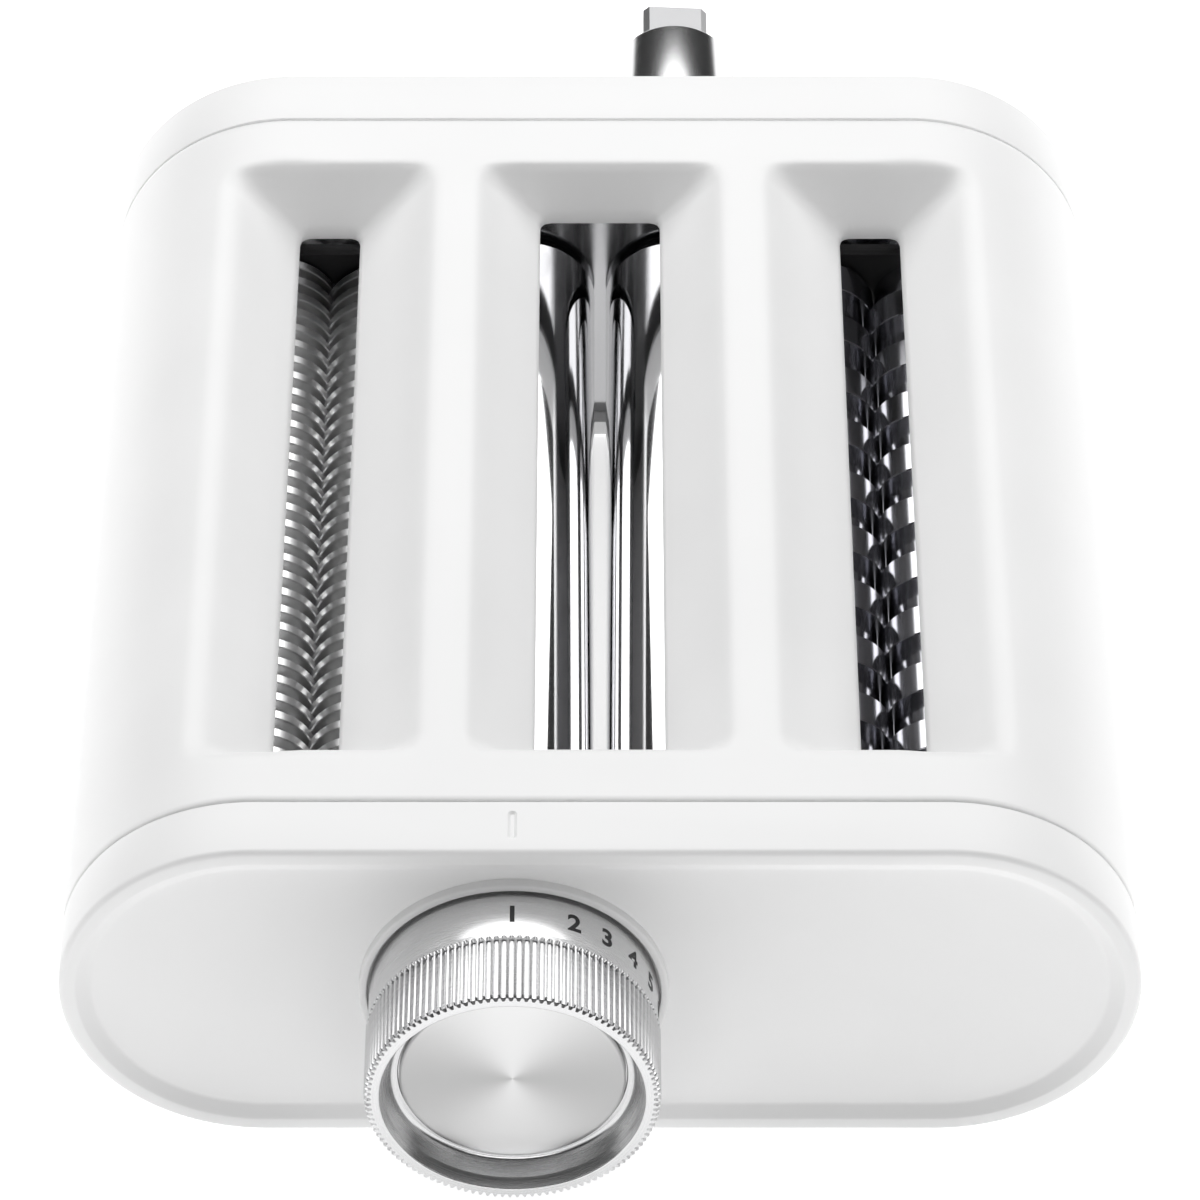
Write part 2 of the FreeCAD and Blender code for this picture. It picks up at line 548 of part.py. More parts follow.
def fixed_bushes(xs, journal, flange):
    """The front and rear bushes of the rollers at xs."""
    bushes = []
    for x in xs:
        outer = journal + BUSH_WALL
        front = ((FRONT_PLATE_Y, GUARD_FRONT_Y), (GUARD_FRONT_Y, GUARD_FRONT_Y + GUARD_T))
        rear = ((REAR_PLATE_Y, REAR_PLATE_BACK), (GUARD_REAR_Y, REAR_PLATE_Y))
        bushes.append(flanged_bush(x, journal, outer, flange, front))
        bushes.append(flanged_bush(x, journal, outer, flange, rear))
    return Part.makeCompound(bushes)


def end_guards(side):
    """The dark cheeks behind the ends of one cutter pair, front and rear."""
    guards = []
    x0, x1 = sorted((side * (INNER_X - GUARD_INNER), side * (OUTER_X + GUARD_INNER)))
    for y in (GUARD_FRONT_Y, GUARD_REAR_Y):
        plate = block(x0, x1, y, y + GUARD_T, GUARD_LOW, GUARD_TOP)
        for x in (INNER_X, OUTER_X):
            plate = plate.cut(rod(CUTTER_FLANGE_R, y - 1, y + GUARD_T + 1, side * x))
        guards.append(plate)
    return Part.makeCompound(guards)


def scraper(side, mount_x):
    """The blade that strips the sheet off one smooth roller, clipped on the rod below it."""
    y0, y1 = ROLLER_Y0 + SCRAPER_END, ROLLER_Y1 - SCRAPER_END
    z = AXIS_Z - TIE_DZ
    angle = math.radians(SCRAPER_ANGLE)
    tip_r = SMOOTH_R + SCRAPER_GAP
    tip = (side * (SMOOTH_X + tip_r * math.cos(angle)), AXIS_Z + tip_r * math.sin(angle))
    low = (side * (SMOOTH_X + (tip_r + 2) * math.cos(angle - 0.12)),
           AXIS_Z + (tip_r + 2) * math.sin(angle - 0.12))
    root_top = (mount_x + side * 1.0, z + TIE_R + 1.2)
    root_low = (mount_x - side * 1.5, z - TIE_R - 0.6)
    blade = prism([tip, root_top, root_low, low], y0, y1)
    hub = rod(TIE_R + 1.6, y0, y1, mount_x, z)
    return hub.fuse(blade).cut(rod(TIE_R, y0 - 1, y1 + 1, mount_x, z))


# ---- rollers ------------------------------------------------------------------------------------
def drive_roller():
    """The fixed-place smooth roller. Its rear journal carries both gears and takes the drive."""
    x = SMOOTH_X
    roller = rod(SMOOTH_R, ROLLER_Y0, ROLLER_Y1, x)
    roller = roller.makeChamfer(0.3, end_edges(roller, ROLLER_Y0) + end_edges(roller, ROLLER_Y1))
    end = DRIVE_SHAFT_Y + DRIVE_SOCKET_L
    roller = roller.fuse(rod(JOURNAL_R, FRONT_PLATE_Y - 2, end, x))
    roller = roller.cut(flat_cut(GEAR_1_Y, end, JOURNAL_R, x))
    pin_y = DRIVE_PIN_Y
    hole = Part.makeCylinder(DRIVE_PIN_R, 4 * JOURNAL_R, V(x - 2 * JOURNAL_R, pin_y, AXIS_Z), V(1, 0, 0))
    return roller.cut(hole)


def drive_shaft():
    """The round shaft in the hub with its square tang."""
    x = SMOOTH_X
    y0, y1, y2 = DRIVE_SHAFT_Y, BODY_L + COLLAR_L, BODY_L + TANG_L
    shaft = rod(DRIVE_SHAFT_R, y0, y1, x)
    half = TANG_AF / 2
    cut = half - TANG_CHAMFER
    outline = [(half, cut), (cut, half), (-cut, half), (-half, cut),
               (-half, -cut), (-cut, -half), (cut, -half), (half, -cut)]
    tang = prism([(x + px, AXIS_Z + pz) for px, pz in outline], y1 - 1, y2)
    tang = tang.makeChamfer(0.8, end_edges(tang, y2))
    tang.rotate(V(x, 0, AXIS_Z), ALONG_Y, TANG_TILT)
    shaft = shaft.fuse(tang)
    socket = rod(JOURNAL_R, y0 - 1, y0 + DRIVE_SOCKET_L, x)
    socket = socket.cut(flat_cut(y0 - 2, y0 + DRIVE_SOCKET_L + 1, JOURNAL_R, x))
    hole = drive_cross_pin()
    return shaft.cut(socket).cut(hole)


def drive_cross_pin():
    """The pin that locks the drive shaft to the roller's journal."""
    y = DRIVE_PIN_Y
    half = DRIVE_SHAFT_R - 0.3
    return Part.makeCylinder(DRIVE_PIN_R, 2 * half, V(SMOOTH_X - half, y, AXIS_Z), V(1, 0, 0))


def adjust_roller():
    """The smooth roller that the dial moves."""
    x = -SMOOTH_X
    roller = rod(SMOOTH_R, ROLLER_Y0, ROLLER_Y1, x)
    roller = roller.makeChamfer(0.3, end_edges(roller, ROLLER_Y0) + end_edges(roller, ROLLER_Y1))
    end = GEAR_1_Y + GEAR_T
    roller = roller.fuse(rod(JOURNAL_R, FRONT_SLIDE_Y + 0.2, end, x))
    return roller.cut(flat_cut(GEAR_1_Y, end + 1, JOURNAL_R, x))


def ring_width(pitch):
    """The width of a cutter ring, a little less than the groove of its mate."""
    return pitch / 2 - 2 * RING_SIDE_GAP


def ring_count(pitch, lead):
    """How many rings a roller takes when the first starts a lead from its end."""
    return int((ROLLER_Y1 - ROLLER_Y0 - lead - ring_width(pitch)) / pitch) + 1


def cutter_profile(pitch, lead):
    """Half section of a cutter roller with journals, from the front end to the rear end."""
    width = ring_width(pitch)
    groove = CUTTER_JOURNAL_R - CLIP_GROOVE
    points = [(0, FRONT_PLATE_Y - 1), (CUTTER_JOURNAL_R, FRONT_PLATE_Y - 1),
              (CUTTER_JOURNAL_R, ROLLER_Y0), (ROOT_R, ROLLER_Y0)]
    for i in range(ring_count(pitch, lead)):
        y0 = ROLLER_Y0 + lead + i * pitch
        y1 = y0 + width
        points += [(ROOT_R, y0), (RING_R - RING_EDGE, y0), (RING_R, y0 + RING_EDGE),
                   (RING_R, y1 - RING_EDGE), (RING_R - RING_EDGE, y1), (ROOT_R, y1)]
    points += [(ROOT_R, ROLLER_Y1), (CUTTER_JOURNAL_R, ROLLER_Y1), (CUTTER_JOURNAL_R, CLIP_Y),
               (groove, CLIP_Y), (groove, CLIP_Y + CLIP_T), (CUTTER_JOURNAL_R, CLIP_Y + CLIP_T),
               (CUTTER_JOURNAL_R, SHAFT_END), (0, SHAFT_END)]
    return points


def cutter_roller(x, pitch, lead):
    """A grooved cutter roller with its journals and the drive flat for its gear."""
    roller = turned(cutter_profile(pitch, lead), x)
    return roller.cut(flat_cut(GEAR_2_Y, SHAFT_END + 1, CUTTER_JOURNAL_R, x))


def comb(x, way, pitch, lead):
    """The comb whose teeth lie in one cutter roller's grooves; way is +1 with its body on +X."""
    z = AXIS_Z - COMB_DZ - COMB_T
    tip = x + way * math.sqrt((ROOT_R + COMB_GAP) ** 2 - COMB_DZ ** 2)
    inner, outer = x + way * COMB_BACK, x + way * (COMB_BACK + COMB_W)
    points = [V(inner, GUARD_FRONT_Y + GUARD_T, z)]
    for i in range(ring_count(pitch, lead) - 1):
        y0 = ROLLER_Y0 + lead + i * pitch + ring_width(pitch) + COMB_GAP
        y1 = ROLLER_Y0 + lead + (i + 1) * pitch - COMB_GAP
        points += [V(inner, y0, z), V(tip, y0, z), V(tip, y1, z), V(inner, y1, z)]
    points += [V(inner, GUARD_REAR_Y, z), V(outer, GUARD_REAR_Y, z), V(outer, GUARD_FRONT_Y + GUARD_T, z)]
    return Part.Face(Part.makePolygon(points + points[:1])).extrude(V(0, 0, COMB_T))


# ---- carriage of the adjusting roller -----------------------------------------------------------
def slide_plate(y0, y1):
    """A plate that slides along X and carries one bush of the adjusting roller."""
    plate = block(SLIDE_X0, SLIDE_X1, y0, y1, AXIS_Z - SLIDE_HALF_H, AXIS_Z + SLIDE_HALF_H)
    corners = [e for e in plate.Edges if abs(e.BoundBox.YLength - (y1 - y0)) < 1e-6]
    plate = plate.makeFillet(SLIDE_CORNER_R, corners)
    holes = [rod(JOURNAL_R + BUSH_WALL, y0 - 1, y1 + 1, -SMOOTH_X)]
    for sz in (-1, 1):
        holes.append(rod(TIE_R, y0 - 1, y1 + 1, -TIE_X, AXIS_Z + sz * TIE_DZ))
        z = AXIS_Z + sz * GUIDE_DZ
        holes.append(obround(GUIDE_R + RUN_GAP, -TRAVEL, y0 - 1, y1 + 1, GUIDE_X, z))
    return plate.cut(holes)


def front_slide_plate():
    """The front sliding plate, with the hole for the follower pin."""
    plate = slide_plate(FRONT_SLIDE_Y, FRONT_SLIDE_Y + FRONT_SLIDE_T)
    return plate.cut(rod(CAM_PIN_R, FRONT_SLIDE_Y - 1, FRONT_PLATE_Y, DIAL_X - CAM_PIN_OFFSET))


def rear_slide_plate():
    """The rear sliding plate."""
    return slide_plate(REAR_SLIDE_Y, REAR_SLIDE_Y + REAR_SLIDE_T)


def slide_guides():
    """Four shoulder pins, two on each bearing plate, that guide the sliding plates."""
    pins = []
    rear_out = REAR_SLIDE_Y + REAR_SLIDE_T + SLIDE_GAP
    front_out = FRONT_SLIDE_Y - SLIDE_GAP
    for sz in (-1, 1):
        z = AXIS_Z + sz * GUIDE_DZ
        front = rod(GUIDE_R, front_out, FRONT_PLATE_Y + PLATE_T, GUIDE_X, z)
        pins.append(front.fuse(rod(GUIDE_HEAD_R, front_out - GUIDE_HEAD_T, front_out, GUIDE_X, z)))
        rear = rod(GUIDE_R, REAR_PLATE_Y, rear_out, GUIDE_X, z)
        pins.append(rear.fuse(rod(GUIDE_HEAD_R, rear_out, rear_out + GUIDE_HEAD_T, GUIDE_X, z)))
    return Part.makeCompound(pins)


def carriage_rods():
    """Two rods that tie the sliding plates together."""
    y0, y1 = FRONT_SLIDE_Y, REAR_SLIDE_Y + REAR_SLIDE_T
    return Part.makeCompound([rod(TIE_R, y0, y1, -TIE_X, AXIS_Z + sz * TIE_DZ) for sz in (-1, 1)])


def follower_pin():
    """The pin on the front sliding plate that runs in the cam's scroll slot."""
    return rod(CAM_PIN_R, CAM_Y + 0.4, FRONT_SLIDE_Y + FRONT_SLIDE_T, DIAL_X - CAM_PIN_OFFSET)


def adjust_roller_bushes():
    """The two bushes of the adjusting roller, held in the sliding plates."""
    outer = JOURNAL_R + BUSH_WALL
    flange_t = GUARD_T - SLIDE_GAP
    front = ((FRONT_SLIDE_Y, GUARD_FRONT_Y + SLIDE_GAP), (GUARD_FRONT_Y + SLIDE_GAP, GUARD_FRONT_Y + GUARD_T))
    rear = ((REAR_PLATE_Y - SLIDE_GAP, REAR_SLIDE_Y + REAR_SLIDE_T), (GUARD_REAR_Y, GUARD_REAR_Y + flange_t))
    bushes = [flanged_bush(-SMOOTH_X, JOURNAL_R, outer, FLANGE_R, spans) for spans in (front, rear)]
    return Part.makeCompound(bushes)


# ---- gears --------------------------------------------------------------------------------------
def involute(angle):
    """The involute function."""
    return math.tan(angle) - angle


def gear(teeth, module, y0, place, phase):
    """A spur gear with involute teeth; phase is the angle of one tooth's centre in the XZ plane."""
    x, z = place
    pitch_r = module * teeth / 2
    base_r = pitch_r * math.cos(PRESSURE_ANGLE)
    tip_r, root_r = pitch_r + module, pitch_r - 1.2 * module
    half = (math.pi * module / 2 - BACKLASH) / (2 * pitch_r) + involute(PRESSURE_ANGLE)
    steps = 4
    flank = []
    if root_r < base_r:
        flank.append((root_r, half))
    start = max(root_r, base_r)
    for i in range(steps + 1):
        radius = start + (tip_r - start) * i / steps
        flank.append((radius, half - involute(math.acos(min(base_r / radius, 1.0)))))
    corners = []
    for tooth in range(teeth):
        centre = phase + 2 * math.pi * tooth / teeth
        sides = [(r, centre - a) for r, a in flank] + [(r, centre + a) for r, a in reversed(flank)]
        corners += [(x + r * math.cos(a), z + r * math.sin(a)) for r, a in sides]
    return prism(corners, y0, y0 + GEAR_T)


def meshing_phase(phase, teeth, mate_teeth, direction):
    """The phase of a mate that lies in the given direction, so that its gap takes a tooth."""
    pitch, mate_pitch = 2 * math.pi / teeth, 2 * math.pi / mate_teeth
    past = ((direction - phase) / pitch) % 1.0
    return direction + math.pi + (past - 0.5) * mate_pitch


def keyed_gear(teeth, module, y0, x, phase, journal):
    """A gear on a roller's journal, locked by the journal's flat."""
    shaft = rod(journal, y0 - 1, y0 + GEAR_T + 1, x).cut(flat_cut(y0 - 2, y0 + GEAR_T + 2, journal, x))
    return gear(teeth, module, y0, (x, AXIS_Z), phase).cut(shaft)


def gear_train():
    """Every gear by name, each in mesh with the one before it."""
    to_left, to_right = math.pi, 0.0
    drive = keyed_gear(ROLLER_TEETH, ROLLER_MODULE, GEAR_1_Y, SMOOTH_X, 0.0, JOURNAL_R)
    adjust_phase = meshing_phase(0.0, ROLLER_TEETH, ROLLER_TEETH, to_left)
    adjust = keyed_gear(ROLLER_TEETH, ROLLER_MODULE, GEAR_1_Y, -SMOOTH_X, adjust_phase, JOURNAL_R)
    spur = keyed_gear(SPUR_TEETH, CUTTER_MODULE, GEAR_2_Y, SMOOTH_X, 0.0, JOURNAL_R)
    wide_inner = meshing_phase(0.0, SPUR_TEETH, CUTTER_TEETH, to_right)
    wide_outer = meshing_phase(wide_inner, CUTTER_TEETH, CUTTER_TEETH, to_right)
    to_idler = math.atan2(IDLER_Z - AXIS_Z, IDLER_X - SMOOTH_X)
    idler_phase = meshing_phase(0.0, SPUR_TEETH, IDLER_TEETH, to_idler)
    to_fine = math.atan2(AXIS_Z - IDLER_Z, -INNER_X - IDLER_X)
    fine_inner = meshing_phase(idler_phase, IDLER_TEETH, CUTTER_TEETH, to_fine)
    fine_outer = meshing_phase(fine_inner, CUTTER_TEETH, CUTTER_TEETH, to_left)
    idler = gear(IDLER_TEETH, CUTTER_MODULE, GEAR_2_Y, (IDLER_X, IDLER_Z), idler_phase)
    bore = rod(IDLER_STUD_R + RUN_GAP, GEAR_2_Y - 1, GEAR_2_END + 1, IDLER_X, IDLER_Z)
    gears = {"drive_roller_gear": drive, "adjust_roller_gear": adjust, "cutter_drive_gear": spur,
             "idler_gear": idler.cut(bore)}
    cutters = [("wide_gear_inner", INNER_X, wide_inner), ("wide_gear_outer", OUTER_X, wide_outer),
               ("fine_gear_inner", -INNER_X, fine_inner), ("fine_gear_outer", -OUTER_X, fine_outer)]
    for name, x, phase in cutters:
        gears[name] = keyed_gear(CUTTER_TEETH, CUTTER_MODULE, GEAR_2_Y, x, phase, CUTTER_JOURNAL_R)
    return gears


def idler_stud():
    """The headed stud in the rear cap that carries the idler."""
    stud = rod(IDLER_STUD_R, GEAR_2_Y - 0.1, BODY_L - 1.5, IDLER_X, IDLER_Z)
    return stud.fuse(rod(IDLER_STUD_R + 1.2, GEAR_2_Y - 0.1 - CLIP_T / 2, GEAR_2_Y - 0.1, IDLER_X, IDLER_Z))


def retaining_clip(x, y, journal):
    """A clip that snaps into the groove of a shaft."""
    groove = journal - CLIP_GROOVE
    ring = rod(groove + CLIP_WALL, y, y + CLIP_T, x).cut(rod(groove, y - 1, y + CLIP_T + 1, x))
    half, low = groove * 0.8, AXIS_Z - journal - CLIP_WALL
    return ring.cut(block(x - half, x + half, y - 1, y + CLIP_T + 1, low, AXIS_Z))


# ---- thickness dial -----------------------------------------------------------------------------
def setting_angles():
    """The dial's turn for each number, in degrees from number 1."""
    return [0.0] + [FIRST_STEP + NEXT_STEP * i for i in range(SETTINGS - 1)]


def knob_grip():
    """The metal knob: knurled outside, with a hollow front whose floor takes the disc."""
    front, back = -KNOB_FRONT, -KNURL_BACK
    floor = front + CUP_DEPTH
    valley = KNOB_R - KNURL_DEPTH
    profile = [(SCREW_HEAD_R + 0.6, floor + 1.5), (SCREW_HEAD_R + 0.6, floor + 0.6),
               (DISC_R + 0.2, floor + 0.6), (DISC_R + 0.2, floor), (CUP_FLOOR_R, floor),
               (CUP_LIP_R, front + 0.3), (CUP_LIP_R + 0.3, front), (valley - 0.4, front),
               (valley, front + 0.4), (valley, back), (KNOB_WALL_R, back), (KNOB_WALL_R, floor + 1.5)]
    grip = turned(profile, DIAL_X)
    step = 2 * math.pi / KNURLS
    corners = []
    for i in range(KNURLS):
        for radius, share in ((valley - 0.2, 0.0), (KNOB_R, 0.15), (KNOB_R, 0.45), (valley - 0.2, 0.6)):
            angle = (i + share) * step
            corners.append((DIAL_X + radius * math.cos(angle), AXIS_Z + radius * math.sin(angle)))
    knurl = prism(corners, front + 0.6, back).cut(rod(valley - 1.0, front, back + 1, DIAL_X))
    return grip.fuse(knurl)


def dial_ring():
    """The smooth ring behind the knurl that carries the numbers."""
    y0, y1 = -KNURL_BACK, DIAL_BACK
    profile = [(INSERT_R, y1), (DIAL_R - 0.3, y1), (DIAL_R, y1 - 0.3), (DIAL_R, y0),
               (KNOB_WALL_R, y0), (KNOB_WALL_R, y0 - 3), (INSERT_R, y0 - 3)]
    return turned(profile, DIAL_X)


def knob_insert():
    """The plastic insert that locks the metal knob to the dial shaft."""
    front = KNOB_FLOOR_Y + 1.5
    wall_y, back = front + 2.5, DIAL_BACK - 0.6
    profile = [(0, front), (KNOB_WALL_R, front), (KNOB_WALL_R, wall_y), (INSERT_R, wall_y),
               (INSERT_R, back), (INSERT_R - INSERT_WALL, back), (INSERT_R - INSERT_WALL, wall_y),
               (INSERT_HUB_R, wall_y), (INSERT_HUB_R, back), (0, back)]
    insert = turned(profile, DIAL_X)
    bore = rod(ADJUST_SHAFT_R, wall_y + 0.3, back + 1, DIAL_X)
    bore = bore.cut(flat_cut(front - 1, back + 2, ADJUST_SHAFT_R, DIAL_X))
    insert = insert.cut(bore).cut(rod(SCREW_HEAD_R + 0.6, front - 1, front + 1.4, DIAL_X))
    return insert.cut(rod(SCREW_R, front, wall_y + 1, DIAL_X))


def knob_disc():
    """The spun metal disc in the middle of the knob."""
    face = -KNOB_FRONT + DISC_FACE
    back = KNOB_FLOOR_Y + 0.6
    return turned([(0, back), (DISC_R, back), (DISC_R, face + 0.3), (DISC_R - 0.3, face), (0, face)], DIAL_X)


def knob_screw():
    """The screw under the disc that holds the knob on its shaft."""
    return screw(DIAL_X, KNOB_FLOOR_Y + 2.9, AXIS_Z, 8.0, True)


def dial_shaft():
    """The shaft from the knob through the front cap to the cam, with drive flats at both ends."""
    front = KNOB_FLOOR_Y + 4.3
    end = DIAL_SHAFT_END
    back = DIAL_BACK - 0.6
    groove = ADJUST_SHAFT_R - CLIP_GROOVE
    profile = [(0, front), (ADJUST_SHAFT_R, front), (ADJUST_SHAFT_R, CAM_END), (groove, CAM_END),
               (groove, CAM_END + CLIP_T), (ADJUST_SHAFT_R, CAM_END + CLIP_T), (ADJUST_SHAFT_R, end), (0, end)]
    shaft = turned(profile, DIAL_X)
    shaft = shaft.cut(flat_cut(front - 1, back, ADJUST_SHAFT_R, DIAL_X))
    shaft = shaft.cut(flat_cut(CAM_Y, end + 1, ADJUST_SHAFT_R, DIAL_X))
    return shaft.cut(rod(SCREW_R, front - 1, front + 8, DIAL_X))


def adjuster_bush():
    """The flanged bush in the front cap that carries the dial shaft."""
    spans = ((PANEL_DEPTH, CAM_Y - SLIDE_GAP), (PANEL_DEPTH - 1, PANEL_DEPTH))
    return flanged_bush(DIAL_X, ADJUST_SHAFT_R, ADJUST_BUSH_R, ADJUST_FLANGE_R, spans)


def scroll_cam():
    """The disc whose scroll slot moves the follower pin, with a dimple for every number."""
    disc = rod(CAM_R, CAM_Y, CAM_END, DIAL_X)
    bore = rod(ADJUST_SHAFT_R, CAM_Y - 1, CAM_END + 1, DIAL_X)
    disc = disc.cut(bore.cut(flat_cut(CAM_Y - 2, CAM_END + 2, ADJUST_SHAFT_R, DIAL_X)))
    disc = disc.cut(scroll_slot(CAM_Y - 1, CAM_END + 1))
    for angle in setting_angles():
        a = math.radians(90.0 - angle)
        place = V(DIAL_X + DETENT_R * math.cos(a), CAM_Y - 0.01, AXIS_Z + DETENT_R * math.sin(a))
        disc = disc.cut(Part.makeCone(DETENT_BALL_R - 0.3, 0.4, 0.9, place, ALONG_Y))
    return disc


def scroll_slot(y0, y1):
    """The slot whose middle line nears the axis by the roller's travel over the dial's turn."""
    margin = 1.5
    steps = 24
    half = CAM_PIN_R + SLIDE_GAP
    turns = [-margin + (DIAL_TURN + 2 * margin) * i / steps for i in range(steps + 1)]

    def at(turn, offset, ahead=0.0):
        radius = CAM_PIN_OFFSET - TRAVEL * turn / DIAL_TURN + offset
        a = math.radians(180.0 - turn)
        x = DIAL_X + radius * math.cos(a) + ahead * math.sin(a)
        return V(x, y0, AXIS_Z + radius * math.sin(a) - ahead * math.cos(a))

    outer, inner = Part.BSplineCurve(), Part.BSplineCurve()
    outer.interpolate([at(t, half) for t in turns])
    inner.interpolate([at(t, -half) for t in reversed(turns)])
    first, last = turns[0], turns[-1]
    far_end = Part.Arc(at(last, half), at(last, 0, half), at(last, -half))
    near_end = Part.Arc(at(first, -half), at(first, 0, -half), at(first, half))
    edges = [outer.toShape(), far_end.toShape(), inner.toShape(), near_end.toShape()]
    return Part.Face(Part.Wire(edges)).extrude(V(0, y1 - y0, 0))


def detent_ball():
    """The ball that clicks into the cam's dimples."""
    centre = V(DIAL_X, CAM_Y - RUN_GAP - DETENT_BALL_R, AXIS_Z + DETENT_R)
    return Part.makeSphere(DETENT_BALL_R, centre)


def detent_spring():
    """The small coil spring behind the detent ball."""
    y0 = PANEL_DEPTH + 1 + DETENT_WIRE_R
    y1 = CAM_Y - RUN_GAP - 2 * DETENT_BALL_R - DETENT_WIRE_R
    radius = DETENT_BALL_R - DETENT_WIRE_R - 0.1
    helix = Part.makeHelix((y1 - y0) / DETENT_TURNS, y1 - y0, radius)
    section = Part.Wire(Part.makeCircle(DETENT_WIRE_R, V(radius, 0, 0), V(0, 1, 0)))
    coil = Part.Wire(helix.Edges).makePipeShell([section], True, True)
    coil.rotate(V(0, 0, 0), V(1, 0, 0), -90)
    coil.translate(V(DIAL_X, y0, AXIS_Z + DETENT_R))
    return coil


# ---- export -------------------------------------------------------------------------------------
def save(name, shape):
    """Checks a piece and writes it, moved so that Y = 0 is the middle of the overall length."""
    piece = shape.copy()
    piece.translate(V(0, -MID_Y, 0))
    if not piece.isValid() or piece.Volume < 1:
        raise ValueError("bad shape: " + name)
    piece.exportStep("parts/" + name + ".step")


os.makedirs("parts", exist_ok=True)

PIECES = {
    "main_housing": main_housing(),
    "bottom_cover": bottom_cover(),
    "front_cap": front_cap(),
    "rear_cap": rear_cap(),
    "knob_bezel": knob_bezel(),
    "hub_collar": hub_collar(),
    "hub_bush": hub_bush(),
    "front_bearing_plate": bearing_plate(FRONT_PLATE_Y, True),
    "rear_bearing_plate": bearing_plate(REAR_PLATE_Y, False),
    "frame_spacers": frame_spacers(),
    "spacer_screws": spacer_screws(),
    "front_cap_screws": front_cap_screws(),
    "rear_cap_screws": rear_cap_screws(),
    "drive_roller_bushes": fixed_bushes([SMOOTH_X], JOURNAL_R, FLANGE_R),
    "cutter_bushes": fixed_bushes([-OUTER_X, -INNER_X, INNER_X, OUTER_X], CUTTER_JOURNAL_R, CUTTER_FLANGE_R),
    "fine_end_guards": end_guards(-1),
    "wide_end_guards": end_guards(1),
    "drive_roller_scraper": scraper(1, TIE_X),
    "adjust_roller_scraper": scraper(-1, -TIE_X),
    "drive_roller": drive_roller(),
    "drive_shaft": drive_shaft(),
    "drive_cross_pin": drive_cross_pin(),
    "adjust_roller": adjust_roller(),
    "adjust_roller_bushes": adjust_roller_bushes(),
    "front_slide_plate": front_slide_plate(),
    "rear_slide_plate": rear_slide_plate(),
    "slide_guides": slide_guides(),
    "carriage_rods": carriage_rods(),
    "follower_pin": follower_pin(),
    "idler_stud": idler_stud(),
    "knob_grip": knob_grip(),
    "dial_ring": dial_ring(),
    "knob_insert": knob_insert(),
    "knob_disc": knob_disc(),
    "knob_screw": knob_screw(),
    "dial_shaft": dial_shaft(),
    "dial_clip": retaining_clip(DIAL_X, CAM_END, ADJUST_SHAFT_R),
    "adjuster_bush": adjuster_bush(),
    "scroll_cam": scroll_cam(),
    "detent_ball": detent_ball(),
    "detent_spring": detent_spring(),
}
PIECES.update(gear_train())

CUTTERS = (("fine", -1, FINE_PITCH, FINE_LEAD), ("wide", 1, WIDE_PITCH, WIDE_LEAD))
for pair, side, ring_pitch, first_lead in CUTTERS:
    combs = []
    for place, axis_x, way, shift in (("inner", INNER_X, -1, 0.0), ("outer", OUTER_X, 1, 0.5)):
        x_here, lead_here = side * axis_x, first_lead + shift * ring_pitch
        PIECES[pair + "_cutter_" + place] = cutter_roller(x_here, ring_pitch, lead_here)
        PIECES[pair + "_clip_" + place] = retaining_clip(x_here, CLIP_Y, CUTTER_JOURNAL_R)
        combs.append(comb(x_here, side * way, ring_pitch, lead_here))
    PIECES[pair + "_combs"] = Part.makeCompound(combs)

for piece_name, piece_shape in PIECES.items():
    save(piece_name, piece_shape)
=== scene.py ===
"""Studio scene of a pasta roller and cutter attachment that a stand mixer drives.

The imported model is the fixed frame. The white housing, the thickness dial, the rollers and the hub
are built here as finished meshes and ride on the frame's bodies; the inner works keep their own
meshes and take their finishes here. Sizes are millimetres from the front face of the housing.
"""
from __future__ import annotations

import json
import logging
import math
from dataclasses import dataclass
from enum import Enum
from typing import Callable, Iterable, Sequence

import bmesh
import bpy
import numpy as np
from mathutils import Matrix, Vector
from mathutils.geometry import tessellate_polygon

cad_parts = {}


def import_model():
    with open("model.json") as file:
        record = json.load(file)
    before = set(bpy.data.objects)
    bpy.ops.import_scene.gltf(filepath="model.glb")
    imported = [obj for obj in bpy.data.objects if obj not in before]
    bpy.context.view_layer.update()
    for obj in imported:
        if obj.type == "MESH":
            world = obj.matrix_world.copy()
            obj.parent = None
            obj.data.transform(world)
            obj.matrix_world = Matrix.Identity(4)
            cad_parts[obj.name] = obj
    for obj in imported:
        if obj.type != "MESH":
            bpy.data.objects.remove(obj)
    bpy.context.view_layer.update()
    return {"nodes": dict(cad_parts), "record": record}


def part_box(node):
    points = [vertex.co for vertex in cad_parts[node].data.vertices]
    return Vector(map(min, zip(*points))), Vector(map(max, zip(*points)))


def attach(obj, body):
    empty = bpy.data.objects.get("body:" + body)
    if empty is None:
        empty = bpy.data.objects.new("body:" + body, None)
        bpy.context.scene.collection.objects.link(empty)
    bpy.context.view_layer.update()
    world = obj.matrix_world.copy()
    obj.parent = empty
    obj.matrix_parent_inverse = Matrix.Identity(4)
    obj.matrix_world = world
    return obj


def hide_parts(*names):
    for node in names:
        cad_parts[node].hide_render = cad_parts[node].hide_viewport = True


LOG = logging.getLogger("pasta_roller")
MM = 0.001
SCRAPER_INSET = 3.0  # how far the rollers reach past their scraper at each end
Point2 = tuple[float, float]


